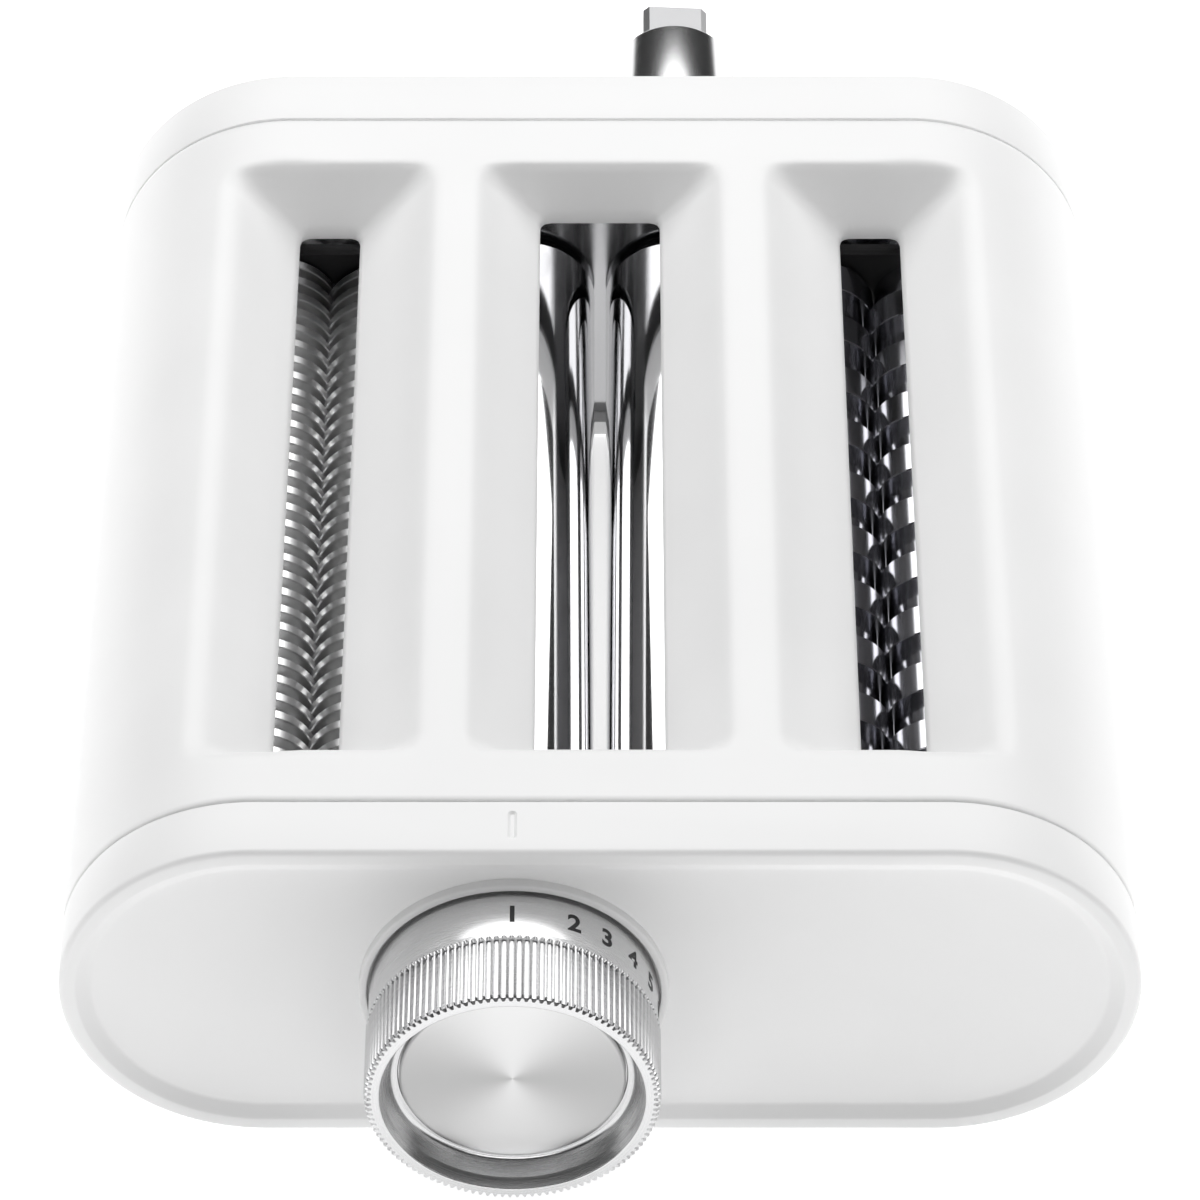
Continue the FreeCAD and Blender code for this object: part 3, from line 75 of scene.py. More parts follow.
# ---- outlines -----------------------------------------------------------------------------------
def rounded_path(corners: Sequence[tuple[float, float, float]], steps: int = 5) -> list[Point2]:
    """Rounds the corners of a flat path with arcs.

    Args:
        corners: (a, b, radius) of each corner; the first and the last stay as they are.
        steps: The number of facets of each arc.

    Returns:
        The points of the rounded path.
    """
    path: list[Point2] = [corners[0][:2]]
    for before, here, after in zip(corners, corners[1:], corners[2:]):
        at = np.array(here[:2], float)
        back, ahead = np.array(before[:2]) - at, np.array(after[:2]) - at
        back_length, ahead_length = np.linalg.norm(back), np.linalg.norm(ahead)
        back, ahead = back / back_length, ahead / ahead_length
        angle = math.acos(float(np.clip(back @ ahead, -1, 1)))
        if here[2] <= 0 or angle > math.pi - 0.02:
            path.append((float(at[0]), float(at[1])))
            continue
        reach = min(here[2] / math.tan(angle / 2), back_length * 0.49, ahead_length * 0.49)
        radius = reach * math.tan(angle / 2)
        middle = (back + ahead) / np.linalg.norm(back + ahead)
        centre = at + middle * radius / math.sin(angle / 2)
        start, end = at + back * reach - centre, at + ahead * reach - centre
        turn = math.atan2(start[0] * end[1] - start[1] * end[0], start @ end)
        for i in range(steps + 1):
            a = turn * i / steps
            c, s = math.cos(a), math.sin(a)
            point = centre + np.array([c * start[0] - s * start[1], s * start[0] + c * start[1]])
            path.append((float(point[0]), float(point[1])))
    path.append(corners[-1][:2])
    return path


def circle(radius: float, y: float, x: float, z: float, steps: int = 64, start: float = 0.0) -> np.ndarray:
    """The points of a circle that faces along Y, centred on (x, z)."""
    a = start + np.arange(steps) * (2 * math.pi / steps)
    return np.column_stack([x + radius * np.cos(a), np.full(steps, y), z + radius * np.sin(a)])


def graded(marks: Sequence[float], fine: float, coarse: float, reach: float) -> list[float]:
    """Divides a length so that the steps are fine near its marks and coarse between them.

    Args:
        marks: The places that a line has to pass, in order. The ends are marks too.
        fine: The step at a mark.
        coarse: The step far from every mark.
        reach: How far from a mark the step has grown to the coarse one.

    Returns:
        The places of all lines, marks included.
    """
    lines = [marks[0]]
    for low, high in zip(marks, marks[1:]):
        fractions = np.linspace(0, 1, 201)
        near = np.minimum(fractions, 1 - fractions) * (high - low)
        density = 1 / (fine + (coarse - fine) * np.clip(near / reach, 0, 1))
        total = np.concatenate([[0], np.cumsum((density[1:] + density[:-1]) / 2)]) * (high - low) / 200
        count = max(1, round(total[-1]))
        inner = np.interp(np.arange(1, count) * total[-1] / count, total, fractions)
        lines += [float(low + f * (high - low)) for f in inner] + [high]
    return lines


# ---- meshes -------------------------------------------------------------------------------------
class MeshBuilder:
    """Collects rings of points and the skins between them, in millimetres, as one mesh."""

    def __init__(self) -> None:
        """Starts with no points and no faces."""
        self.points: list[tuple[float, float, float]] = []
        self.faces: list[list[int]] = []

    def ring(self, points: Iterable[Sequence[float]]) -> list[int]:
        """Adds points and returns their numbers."""
        start = len(self.points)
        self.points += [tuple(float(v) for v in p) for p in points]
        return list(range(start, len(self.points)))

    def skin(self, rings: Sequence[Sequence[int]], closed: bool = True) -> None:
        """Covers the space between rings of equal length with four-sided faces.

        Args:
            rings: Lists of point numbers, each ring next to the one before it.
            closed: Whether each ring joins its own ends.
        """
        for first, second in zip(rings, rings[1:]):
            count = len(first)
            for i in range(count if closed else count - 1):
                j = (i + 1) % count
                face = [first[i], first[j], second[j], second[i]]
                kept = [v for k, v in enumerate(face) if v != face[k - 1]]
                if len(kept) > 2:
                    self.faces.append(kept)

    def plate(self, outline: Sequence[int], holes: Sequence[Sequence[int]] = ()) -> None:
        """Fills a flat outline, less its holes, with triangles.

        Args:
            outline: Point numbers round the edge.
            holes: Point numbers round each hole.
        """
        loops = [list(outline)] + [list(h) for h in holes]
        numbers = [n for loop in loops for n in loop]
        flat = [[Vector(self.points[n]) for n in loop] for loop in loops]
        for triangle in tessellate_polygon(flat):
            self.faces.append([numbers[k] for k in triangle])

    def lathe(self, profile: Sequence[Point2], x: float, z: float, steps: int = 96,
              closed: bool = False) -> list[list[int]]:
        """Turns a profile of (radius, y) about the axis through (x, z).

        Args:
            profile: The points of the profile. A radius of 0 makes a pole.
            x: Axis place across.
            z: Axis height.
            steps: Facets round the axis.
            closed: Whether the profile's last point joins its first.

        Returns:
            The rings of point numbers, one for each profile point.
        """
        rings = []
        for radius, y in profile:
            if radius <= 0:
                rings.append(self.ring([(x, y, z)]) * steps)
            else:
                rings.append(self.ring(circle(radius, y, x, z, steps)))
        self.skin(rings + ([rings[0]] if closed else []))
        return rings

    def build(self, name: str, datum: Datum, sharp: float = 32.0, weld: float = 1e-4) -> bpy.types.Object:
        """Makes the object, in metres and in the frame's place.

        Args:
            name: The piece's name.
            datum: Where the housing's front face lies in the frame.
            sharp: Edges that turn by more than this many degrees stay crisp.
            weld: Points closer than this, in millimetres, become one.

        Returns:
            The finished object, at the origin, with its place in its mesh.
        """
        mesh = bpy.data.meshes.new(name)
        shifted = [(p[0] * MM, p[1] * MM + datum.front, p[2] * MM) for p in self.points]
        mesh.from_pydata(shifted, [], self.faces)
        return finished(name, mesh, sharp, weld)


def finished(name: str, mesh: bpy.types.Mesh, sharp: float = 32.0, weld: float = 1e-4) -> bpy.types.Object:
    """Welds a mesh, turns its faces outwards, smooths its shading and puts it in the scene.

    Args:
        name: The piece's name.
        mesh: Its mesh, where doubles and mixed normals may remain.
        sharp: Edges that turn by more than this many degrees stay crisp.
        weld: Points closer than this, in millimetres, become one.

    Returns:
        The object, linked to the scene.
    """
    bm = bmesh.new()
    bm.from_mesh(mesh)
    bmesh.ops.remove_doubles(bm, verts=bm.verts, dist=weld * MM)
    bmesh.ops.dissolve_degenerate(bm, edges=bm.edges, dist=weld * MM)
    bmesh.ops.recalc_face_normals(bm, faces=bm.faces)
    bm.to_mesh(mesh)
    bm.free()
    mesh.shade_smooth()
    mesh.set_sharp_from_angle(angle=math.radians(sharp))
    piece = bpy.data.objects.new(name, mesh)
    bpy.context.scene.collection.objects.link(piece)
    return piece


# ---- the frame ----------------------------------------------------------------------------------
@dataclass(frozen=True)
class Datum:
    """Places read from the frame: metres for front, millimetres for the rest."""

    front: float
    width: float
    height: float
    length: float
    seam_front: float
    seam_rear: float
    axis_z: float
    sheet_x: float
    dial_x: float
    inner_x: float
    outer_x: float
    roller_front: float
    roller_rear: float
    hub_end: float
    tang_end: float

    @classmethod
    def read(cls) -> Datum:
        """Reads the places from the boxes of the frame's nodes."""
        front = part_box("front_cap")[0].y

        def low(node: str) -> tuple[float, float, float]:
            """The node's lowest corner: x and z, and y from the front face."""
            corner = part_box(node)[0]
            return corner.x / MM, (corner.y - front) / MM, corner.z / MM

        def high(node: str) -> tuple[float, float, float]:
            """The node's highest corner: x and z, and y from the front face."""
            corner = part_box(node)[1]
            return corner.x / MM, (corner.y - front) / MM, corner.z / MM

        def axis(node: str) -> float:
            """The middle of the node across."""
            return (low(node)[0] + high(node)[0]) / 2

        return cls(
            front=front, width=high("front_cap")[0] - low("front_cap")[0], height=high("front_cap")[2],
            length=high("rear_cap")[1] - Hub.boss_length, seam_front=low("main_housing")[1],
            seam_rear=high("main_housing")[1], axis_z=high("front_cap")[2] / 2, sheet_x=axis("drive_shaft"),
            dial_x=axis("knob_disc"), inner_x=axis("wide_clip_inner"), outer_x=axis("wide_clip_outer"),
            roller_front=low("drive_roller_scraper")[1] - SCRAPER_INSET,
            roller_rear=high("drive_roller_scraper")[1] + SCRAPER_INSET,
            hub_end=high("hub_collar")[1], tang_end=high("drive_shaft")[1])


# ---- geometry node trees ------------------------------------------------------------------------
class RepeatTree:
    """A Geometry Nodes tree that repeats its input mesh along a line, round an axis or on points."""

    class Mode(Enum):
        """How the copies are placed."""

        ROW = "row"
        ROUND = "round"
        POINTS = "points"

    def __init__(self, mode: RepeatTree.Mode) -> None:
        """Makes the tree for one way of placing copies."""
        self.mode = mode
        self.tree = bpy.data.node_groups.new("repeat_" + mode.value, "GeometryNodeTree")
        self.links = self.tree.links
        self.build()

    def socket(self, name: str, kind: str, out: bool = False) -> None:
        """Adds a named input or output to the tree."""
        self.tree.interface.new_socket(name, in_out="OUTPUT" if out else "INPUT", socket_type=kind)

    def node(self, kind: str) -> bpy.types.Node:
        """Adds a node to the tree."""
        return self.tree.nodes.new(kind)

    def build(self) -> None:
        """Makes the tree's sockets, nodes and links."""
        self.socket("Geometry", "NodeSocketGeometry")
        self.socket("Count", "NodeSocketInt")
        self.socket("Step", "NodeSocketVector")
        self.socket("Centre", "NodeSocketVector")
        self.socket("Weld", "NodeSocketFloat")
        self.socket("Template", "NodeSocketObject")
        self.socket("Finish", "NodeSocketMaterial")
        self.socket("Geometry", "NodeSocketGeometry", out=True)
        given = self.node("NodeGroupInput")
        place = self.node("GeometryNodeInstanceOnPoints")
        if self.mode is RepeatTree.Mode.POINTS:
            template = self.node("GeometryNodeObjectInfo")
            self.links.new(given.outputs["Template"], template.inputs["Object"])
            self.links.new(given.outputs["Geometry"], place.inputs["Points"])
            self.links.new(template.outputs["Geometry"], place.inputs["Instance"])
        else:
            line = self.node("GeometryNodeMeshLine")
            self.links.new(given.outputs["Count"], line.inputs["Count"])
            self.links.new(given.outputs["Centre"], line.inputs["Start Location"])
            self.links.new(given.outputs["Geometry"], place.inputs["Instance"])
            self.links.new(line.outputs["Mesh"], place.inputs["Points"])
            if self.mode is RepeatTree.Mode.ROW:
                self.links.new(given.outputs["Step"], line.inputs["Offset"])
            else:
                line.inputs["Offset"].default_value = (0.0, 0.0, 0.0)
                index = self.node("GeometryNodeInputIndex")
                turn = self.node("ShaderNodeVectorMath")
                turn.operation = "SCALE"
                self.links.new(given.outputs["Step"], turn.inputs["Vector"])
                self.links.new(index.outputs["Index"], turn.inputs["Scale"])
                self.links.new(turn.outputs["Vector"], place.inputs["Rotation"])
        realize = self.node("GeometryNodeRealizeInstances")
        weld = self.node("GeometryNodeMergeByDistance")
        dress = self.node("GeometryNodeSetMaterial")
        result = self.node("NodeGroupOutput")
        self.links.new(place.outputs["Instances"], realize.inputs["Geometry"])
        self.links.new(realize.outputs["Geometry"], weld.inputs["Geometry"])
        self.links.new(given.outputs["Weld"], weld.inputs["Distance"])
        self.links.new(weld.outputs["Geometry"], dress.inputs["Geometry"])
        self.links.new(given.outputs["Finish"], dress.inputs["Material"])
        self.links.new(dress.outputs["Geometry"], result.inputs["Geometry"])

    def run(self, source: bpy.types.Object, values: dict[str, object]) -> bpy.types.Mesh:
        """Repeats the source's mesh and returns the result as a plain mesh; the source is removed.

        Args:
            source: The object whose mesh is repeated, or whose points take the template.
            values: The tree's inputs by name.

        Returns:
            The realized mesh.
        """
        modifier = source.modifiers.new("repeat", "NODES")
        modifier.node_group = self.tree
        for item in self.tree.interface.items_tree:
            if item.in_out == "INPUT" and item.name in values:
                modifier[item.identifier] = values[item.name]
        bpy.context.view_layer.update()
        evaluated = source.evaluated_get(bpy.context.evaluated_depsgraph_get())
        mesh = bpy.data.meshes.new_from_object(evaluated)
        source.modifiers.remove(modifier)
        bpy.data.objects.remove(source)
        return mesh


# ---- finishes -----------------------------------------------------------------------------------
def shader_group(name: str, inputs: dict[str, tuple[str, object]], outputs: dict[str, str],
                 fill: Callable[[bpy.types.NodeTree, bpy.types.Node, bpy.types.Node], None],
                 ) -> bpy.types.NodeTree:
    """Builds a shader node group.

    Args:
        name: The group's name.
        inputs: Socket type and default value of each input.
        outputs: Socket type of each output.
        fill: Adds the nodes between the group's input and output nodes.

    Returns:
        The group.
    """
    group = bpy.data.node_groups.new(name, "ShaderNodeTree")
    for label, (kind, default) in inputs.items():
        made = group.interface.new_socket(label, in_out="INPUT", socket_type=kind)
        if default is not None:
            made.default_value = default
    for label, kind in outputs.items():
        group.interface.new_socket(label, in_out="OUTPUT", socket_type=kind)
    fill(group, group.nodes.new("NodeGroupInput"), group.nodes.new("NodeGroupOutput"))
    return group


def math_node(tree: bpy.types.NodeTree, operation: str, first: object, second: object = 0.0) -> object:
    """Adds a Math node and returns its output; each operand is a number or an output socket.

    Args:
        tree: The tree that takes the node.
        operation: The operation's name.
        first: A number or an output socket.
        second: A number or an output socket.

    Returns:
        The node's output socket.
    """
    node = tree.nodes.new("ShaderNodeMath")
    node.operation = operation
    for slot, operand in zip(node.inputs, (first, second)):
        if isinstance(operand, (int, float)):
            slot.default_value = operand
        else:
            tree.links.new(operand, slot)
    return node.outputs[0]


def fill_grain(tree: bpy.types.NodeTree, given: bpy.types.Node, result: bpy.types.Node) -> None:
    """Fine grain of a moulded or blasted surface, with slow clouds of sheen.

    Args:
        tree: The group's tree.
        given: Its input node.
        result: Its output node.
    """
    fine = tree.nodes.new("ShaderNodeTexNoise")
    fine.inputs["Detail"].default_value = 3.0
    cloud = tree.nodes.new("ShaderNodeTexNoise")
    cloud.inputs["Detail"].default_value = 2.0
    for noise, scale in ((fine, "Grain Scale"), (cloud, "Cloud Scale")):
        tree.links.new(given.outputs["Vector"], noise.inputs["Vector"])
        tree.links.new(given.outputs[scale], noise.inputs["Scale"])
    shift = math_node(tree, "MULTIPLY", math_node(tree, "SUBTRACT", cloud.outputs["Fac"], 0.5),
                      given.outputs["Sheen Range"])
    tree.links.new(fine.outputs["Fac"], result.inputs["Height"])
    tree.links.new(math_node(tree, "ADD", given.outputs["Roughness"], shift), result.inputs["Roughness"])
    tree.links.new(cloud.outputs["Fac"], result.inputs["Cloud"])


def fill_turned(tree: bpy.types.NodeTree, given: bpy.types.Node, result: bpy.types.Node) -> None:
    """Tool marks of a piece turned about an axis along Y: rings by radius and by length.

    Args:
        tree: The group's tree.
        given: Its input node.
        result: Its output node.
    """
    apart = tree.nodes.new("ShaderNodeSeparateXYZ")
    tree.links.new(given.outputs["Vector"], apart.inputs["Vector"])
    squares = math_node(tree, "ADD", math_node(tree, "POWER", apart.outputs["X"], 2.0),
                        math_node(tree, "POWER", apart.outputs["Z"], 2.0))
    radius = math_node(tree, "MULTIPLY", math_node(tree, "SQRT", squares), given.outputs["Face Marks"])
    along = math_node(tree, "MULTIPLY", apart.outputs["Y"], given.outputs["Side Marks"])
    noise = tree.nodes.new("ShaderNodeTexNoise")
    noise.noise_dimensions = "1D"
    noise.inputs["Scale"].default_value = 1.0
    noise.inputs["Detail"].default_value = 5.0
    noise.inputs["Roughness"].default_value = 0.7
    tree.links.new(math_node(tree, "ADD", radius, along), noise.inputs["W"])
    shift = math_node(tree, "MULTIPLY", math_node(tree, "SUBTRACT", noise.outputs["Fac"], 0.5),
                      given.outputs["Sheen Range"])
    tree.links.new(noise.outputs["Fac"], result.inputs["Height"])
    tree.links.new(math_node(tree, "ADD", given.outputs["Roughness"], shift), result.inputs["Roughness"])


class Workshop:
    """The two surface effects that the finishes share, built once."""

    def __init__(self) -> None:
        """Builds the two shader groups."""
        number, vector = "NodeSocketFloat", "NodeSocketVector"
        self.grain = shader_group(
            "moulded_grain",
            {"Vector": (vector, None), "Grain Scale": (number, 1.0), "Cloud Scale": (number, 1.0),
             "Roughness": (number, 0.5), "Sheen Range": (number, 0.1)},
            {"Height": number, "Roughness": number, "Cloud": number}, fill_grain)
        self.turned = shader_group(
            "turned_marks",
            {"Vector": (vector, None), "Face Marks": (number, 1.0), "Side Marks": (number, 1.0),
             "Roughness": (number, 0.3), "Sheen Range": (number, 0.1)},
            {"Height": number, "Roughness": number}, fill_turned)

    def start(self, name: str, colour: tuple[float, float, float], metallic: float, centre: Vector,
              group: bpy.types.NodeTree, values: dict[str, float], bump: tuple[float, float],
              ) -> tuple[bpy.types.Material, bpy.types.Node, bpy.types.Node]:
        """Makes a material whose roughness and bump come from one of the shared effects.

        Args:
            name: The material's name.
            colour: Linear base colour.
            metallic: 1 for metal, 0 for plastic.
            centre: The pattern's centre in the frame, in metres.
            group: The shared effect.
            values: The effect's inputs by name.
            bump: Strength and height of the bump, the height in metres.

        Returns:
            The material, its Principled shader and the effect's node.
        """
        material = bpy.data.materials.new(name)
        material.use_nodes = True
        tree = material.node_tree
        shader = tree.nodes["Principled BSDF"]
        shader.inputs["Base Color"].default_value = (*colour, 1.0)
        shader.inputs["Metallic"].default_value = metallic
        where = tree.nodes.new("ShaderNodeTexCoord")
        mapping = tree.nodes.new("ShaderNodeMapping")
        mapping.inputs["Location"].default_value = -centre
        effect = tree.nodes.new("ShaderNodeGroup")
        effect.node_tree = group
        for label, value in values.items():
            effect.inputs[label].default_value = value
        relief = tree.nodes.new("ShaderNodeBump")
        relief.inputs["Strength"].default_value = bump[0]
        relief.inputs["Distance"].default_value = bump[1]
        tree.links.new(where.outputs["Object"], mapping.inputs["Vector"])
        tree.links.new(mapping.outputs["Vector"], effect.inputs["Vector"])
        tree.links.new(effect.outputs["Height"], relief.inputs["Height"])
        tree.links.new(effect.outputs["Roughness"], shader.inputs["Roughness"])
        tree.links.new(relief.outputs["Normal"], shader.inputs["Normal"])
        return material, shader, effect


@dataclass(frozen=True)
class MouldedPlastic:
    """A moulded plastic with a fine grain."""

    colour: tuple[float, float, float]
    roughness: float = 0.45
    grain_scale: float = 2600.0
    grain_height: float = 0.000012
    tint_range: float = 0.02

    def material(self, name: str, shop: Workshop) -> bpy.types.Material:
        """Makes the material.

        Args:
            name: The material's name.
            shop: Holds the shared effects.

        Returns:
            The material.
        """
        values = {"Grain Scale": self.grain_scale, "Cloud Scale": 30.0, "Roughness": self.roughness,
                  "Sheen Range": 0.08}
        made, shader, effect = shop.start(name, self.colour, 0.0, Vector((0, 0, 0)), shop.grain, values,
                                          (0.35, self.grain_height))
        shader.inputs["IOR"].default_value = 1.46
        tree = made.node_tree
        ramp = tree.nodes.new("ShaderNodeValToRGB")
        low = tuple(c * (1 - self.tint_range) for c in self.colour)
        ramp.color_ramp.elements[0].position = 0.35
        ramp.color_ramp.elements[0].color = (*low, 1.0)
        ramp.color_ramp.elements[1].position = 0.65
        ramp.color_ramp.elements[1].color = (*self.colour, 1.0)
        tree.links.new(effect.outputs["Cloud"], ramp.inputs["Fac"])
        tree.links.new(ramp.outputs["Color"], shader.inputs["Base Color"])
        return made


@dataclass(frozen=True)
class TurnedMetal:
    """A metal turned about an axis along Y, with its tool marks."""

    colour: tuple[float, float, float]
    roughness: float = 0.25
    face_marks: float = 9000.0
    side_marks: float = 5000.0
    mark_height: float = 0.000004
    sheen_range: float = 0.1
    anisotropic: float = 0.0
    # Strength of the painted fan highlight: the base colour swings lighter and darker twice round the axis.
    painted_fan_highlight: float = 0.0

    def material(self, name: str, shop: Workshop, centre: Vector) -> bpy.types.Material:
        """Makes the material with its marks about the axis through centre.

        Args:
            name: The material's name.
            shop: Holds the shared effects.
            centre: A point of the axis in the frame, in metres.

        Returns:
            The material.
        """
        values = {"Face Marks": self.face_marks, "Side Marks": self.side_marks,
                  "Roughness": self.roughness, "Sheen Range": self.sheen_range}
        made, shader, _ = shop.start(name, self.colour, 1.0, centre, shop.turned, values,
                                     (0.5, self.mark_height))
        if self.anisotropic:
            shader.inputs["Anisotropic"].default_value = self.anisotropic
            around = made.node_tree.nodes.new("ShaderNodeTangent")
            around.direction_type = "UV_MAP"
            around.uv_map = "round"
            made.node_tree.links.new(around.outputs["Tangent"], shader.inputs["Tangent"])
        # Painted highlight: fans of light are painted into the base colour.
        if self.painted_fan_highlight:
            self.paint_fan_highlights(made.node_tree, shader)
        return made

    def paint_fan_highlights(self, tree: bpy.types.NodeTree, shader: bpy.types.Node) -> None:
        """Paints fan highlights into the base colour of a spun face: it turns lighter and darker twice round
        its axis.

        Args:
            tree: The material's node tree.
            shader: Its Principled shader.
        """
        mapping = next(n for n in tree.nodes if n.bl_idname == "ShaderNodeMapping")
        apart = tree.nodes.new("ShaderNodeSeparateXYZ")
        tree.links.new(mapping.outputs["Vector"], apart.inputs["Vector"])
        angle = math_node(tree, "ARCTAN2", apart.outputs["X"], apart.outputs["Z"])
        wave = math_node(tree, "COSINE", math_node(tree, "MULTIPLY", angle, 2.0))
        scale = math_node(tree, "ADD", math_node(tree, "MULTIPLY", wave, self.painted_fan_highlight / 2), 1.0)
        # Painted highlight: the base colour is scaled up and down by the wave round the axis.
        fan_highlight_colour = tree.nodes.new("ShaderNodeCombineXYZ")
        for slot, level in zip(fan_highlight_colour.inputs, self.colour):
            tree.links.new(math_node(tree, "MULTIPLY", scale, level), slot)
        tree.links.new(fan_highlight_colour.outputs["Vector"], shader.inputs["Base Color"])


@dataclass(frozen=True)
class WorkedMetal:
    """A rolled, ground or blasted metal with a fine grain."""

    colour: tuple[float, float, float]
    roughness: float = 0.3
    grain_scale: float = 1800.0
    grain_height: float = 0.000006
    sheen_range: float = 0.15

    def material(self, name: str, shop: Workshop) -> bpy.types.Material:
        """Makes the material.

        Args:
            name: The material's name.
            shop: Holds the shared effects.

        Returns:
            The material.
        """
        values = {"Grain Scale": self.grain_scale, "Cloud Scale": 60.0, "Roughness": self.roughness,
                  "Sheen Range": self.sheen_range}
        made, _, _ = shop.start(name, self.colour, 1.0, Vector((0, 0, 0)), shop.grain, values,
                                (0.4, self.grain_height))
        return made


class Palette:
    """Every finish of the attachment by its slot."""

    def __init__(self, datum: Datum, shop: Workshop) -> None:
        """Lists every finish; the materials are made at their first use.

        Args:
            datum: Places read from the frame.
            shop: Holds the shared effects.
        """
        self.datum = datum
        self.shop = shop
        self.made: dict[str, bpy.types.Material] = {}
        self.plastics = {
            "white_plastic": MouldedPlastic((0.88, 0.88, 0.88), 0.42),
            "bezel_plastic": MouldedPlastic((0.84, 0.84, 0.84), 0.36),
            "bush_plastic": MouldedPlastic((0.03, 0.03, 0.032), 0.4, 1500.0),
            "guard_plastic": MouldedPlastic((0.05, 0.05, 0.052), 0.38, 1500.0),
            "comb_plastic": MouldedPlastic((0.62, 0.62, 0.60), 0.4, 1500.0),
            "insert_plastic": MouldedPlastic((0.12, 0.12, 0.125), 0.5, 1500.0),
            "numeral_ink": MouldedPlastic((0.012, 0.012, 0.013), 0.5, 1500.0),
        }
        self.worked = {
            "plate_steel": WorkedMetal((0.60, 0.60, 0.61), 0.16),
            "shaft_steel": WorkedMetal((0.62, 0.62, 0.63), 0.22),
            "fastener_steel": WorkedMetal((0.55, 0.55, 0.56), 0.3),
            "gear_steel": WorkedMetal((0.45, 0.45, 0.46), 0.34),
            "cam_steel": WorkedMetal((0.5, 0.5, 0.51), 0.32),
        }
        self.turned = {
            "roller_chrome": (TurnedMetal((0.80, 0.80, 0.81), 0.07, sheen_range=0.03, mark_height=4e-7),
                              datum.sheet_x),
            "fine_cutter_steel": (TurnedMetal((0.86, 0.86, 0.86), 0.34), -datum.inner_x),
            "wide_cutter_steel": (TurnedMetal((0.62, 0.62, 0.65), 0.16, mark_height=1e-6), datum.inner_x),
            "knob_aluminium": (TurnedMetal((0.66, 0.66, 0.665), 0.27, sheen_range=0.06), datum.dial_x),
            # The spun disc's base colour carries painted fan highlights.
            "spun_disc": (TurnedMetal((0.56, 0.56, 0.56), 0.30, anisotropic=0.75, painted_fan_highlight=0.42), datum.dial_x),
            "hub_steel": (TurnedMetal((0.66, 0.66, 0.665), 0.16), datum.sheet_x),
            "tang_steel": (TurnedMetal((0.34, 0.34, 0.345), 0.3), datum.sheet_x),
        }

    def finish(self, slot: str) -> bpy.types.Material:
        """Returns the slot's material, made at its first use.

        Args:
            slot: The finish's slot.

        Returns:
            The material.
        """
        if slot not in self.made:
            if slot in self.turned:
                metal, x = self.turned[slot]
                centre = Vector((x * MM, self.datum.front, self.datum.axis_z * MM))
                self.made[slot] = metal.material(slot, self.shop, centre)
            elif slot in self.worked:
                self.made[slot] = self.worked[slot].material(slot, self.shop)
            else:
                self.made[slot] = self.plastics[slot].material(slot, self.shop)
        return self.made[slot]


class Bench:
    """Hands finished pieces to the frame and reports them."""

    def __init__(self, datum: Datum, palette: Palette, record: dict) -> None:
        """Reads from the record which body holds each node and which slots exist.

        Args:
            datum: Places read from the frame.
            palette: Every finish.
            record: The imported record.
        """
        self.datum = datum
        self.palette = palette
        self.bodies = {n: b for b, ns in record["behaviour"]["bodies"].items() for n in ns}
        self.slots = {m["slot"] for m in record["materials"]}
        self.done: set[str] = set()

    def fit(self, piece: bpy.types.Object, slot: str, nodes: Sequence[str], body: str = "") -> None:
        """Dresses a piece, puts it on its body and lets it stand for its nodes.

        Args:
            piece: The finished piece.
            slot: Its material slot.
            nodes: The frame's nodes that it stands for.
            body: Its body, where it stands for no node.
        """
        piece.data.materials.clear()
        piece.data.materials.append(self.palette.finish(slot))
        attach(piece, body or self.bodies[nodes[0]])
        if nodes:
            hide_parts(*nodes)
            self.done.update(nodes)
        slot in self.slots
        triangles = sum(len(p.vertices) - 2 for p in piece.data.polygons)
        LOG.info("%s: %d triangles, %s, for %s", piece.name, triangles, slot, ", ".join(nodes) or body)


# ---- housing ------------------------------------------------------------------------------------
@dataclass(frozen=True)
class Funnel:
    """One hopper: its slot, its depth and how far its slopes run."""

    x: float
    half_width: float
    depth: float
    side_run: float
    end_run: float
    y0: float
    y1: float
    rim: float
    outer_rim: float

    def share(self, x: np.ndarray, y: np.ndarray, grow: float) -> np.ndarray:
        """How far up the slope each place lies: 0 at the slot, 1 at the top face.

        Args:
            x: Places across.
            y: Places along.
            grow: How far the hopper's outline is grown.

        Returns:
            The share at each place.
        """
        low, high = np.full(x.shape, -0.15), np.full(x.shape, 1.6)
        half_length = (self.y1 - self.y0) / 2 - self.end_run
        px, py = np.abs(x - self.x), np.abs(y - (self.y0 + self.y1) / 2)
        for _ in range(26):
            s = (low + high) / 2
            radius = 2.0 + 2.5 * np.clip(s, 0, 1) + grow
            qx = px - (self.half_width + self.side_run * s + grow - radius)
            qy = py - (half_length + self.end_run * s + grow - radius)
            away = np.hypot(np.maximum(qx, 0), np.maximum(qy, 0)) + np.minimum(np.maximum(qx, qy), 0)
            outside = away > radius
            low, high = np.where(outside, s, low), np.where(outside, high, s)
        return (low + high) / 2


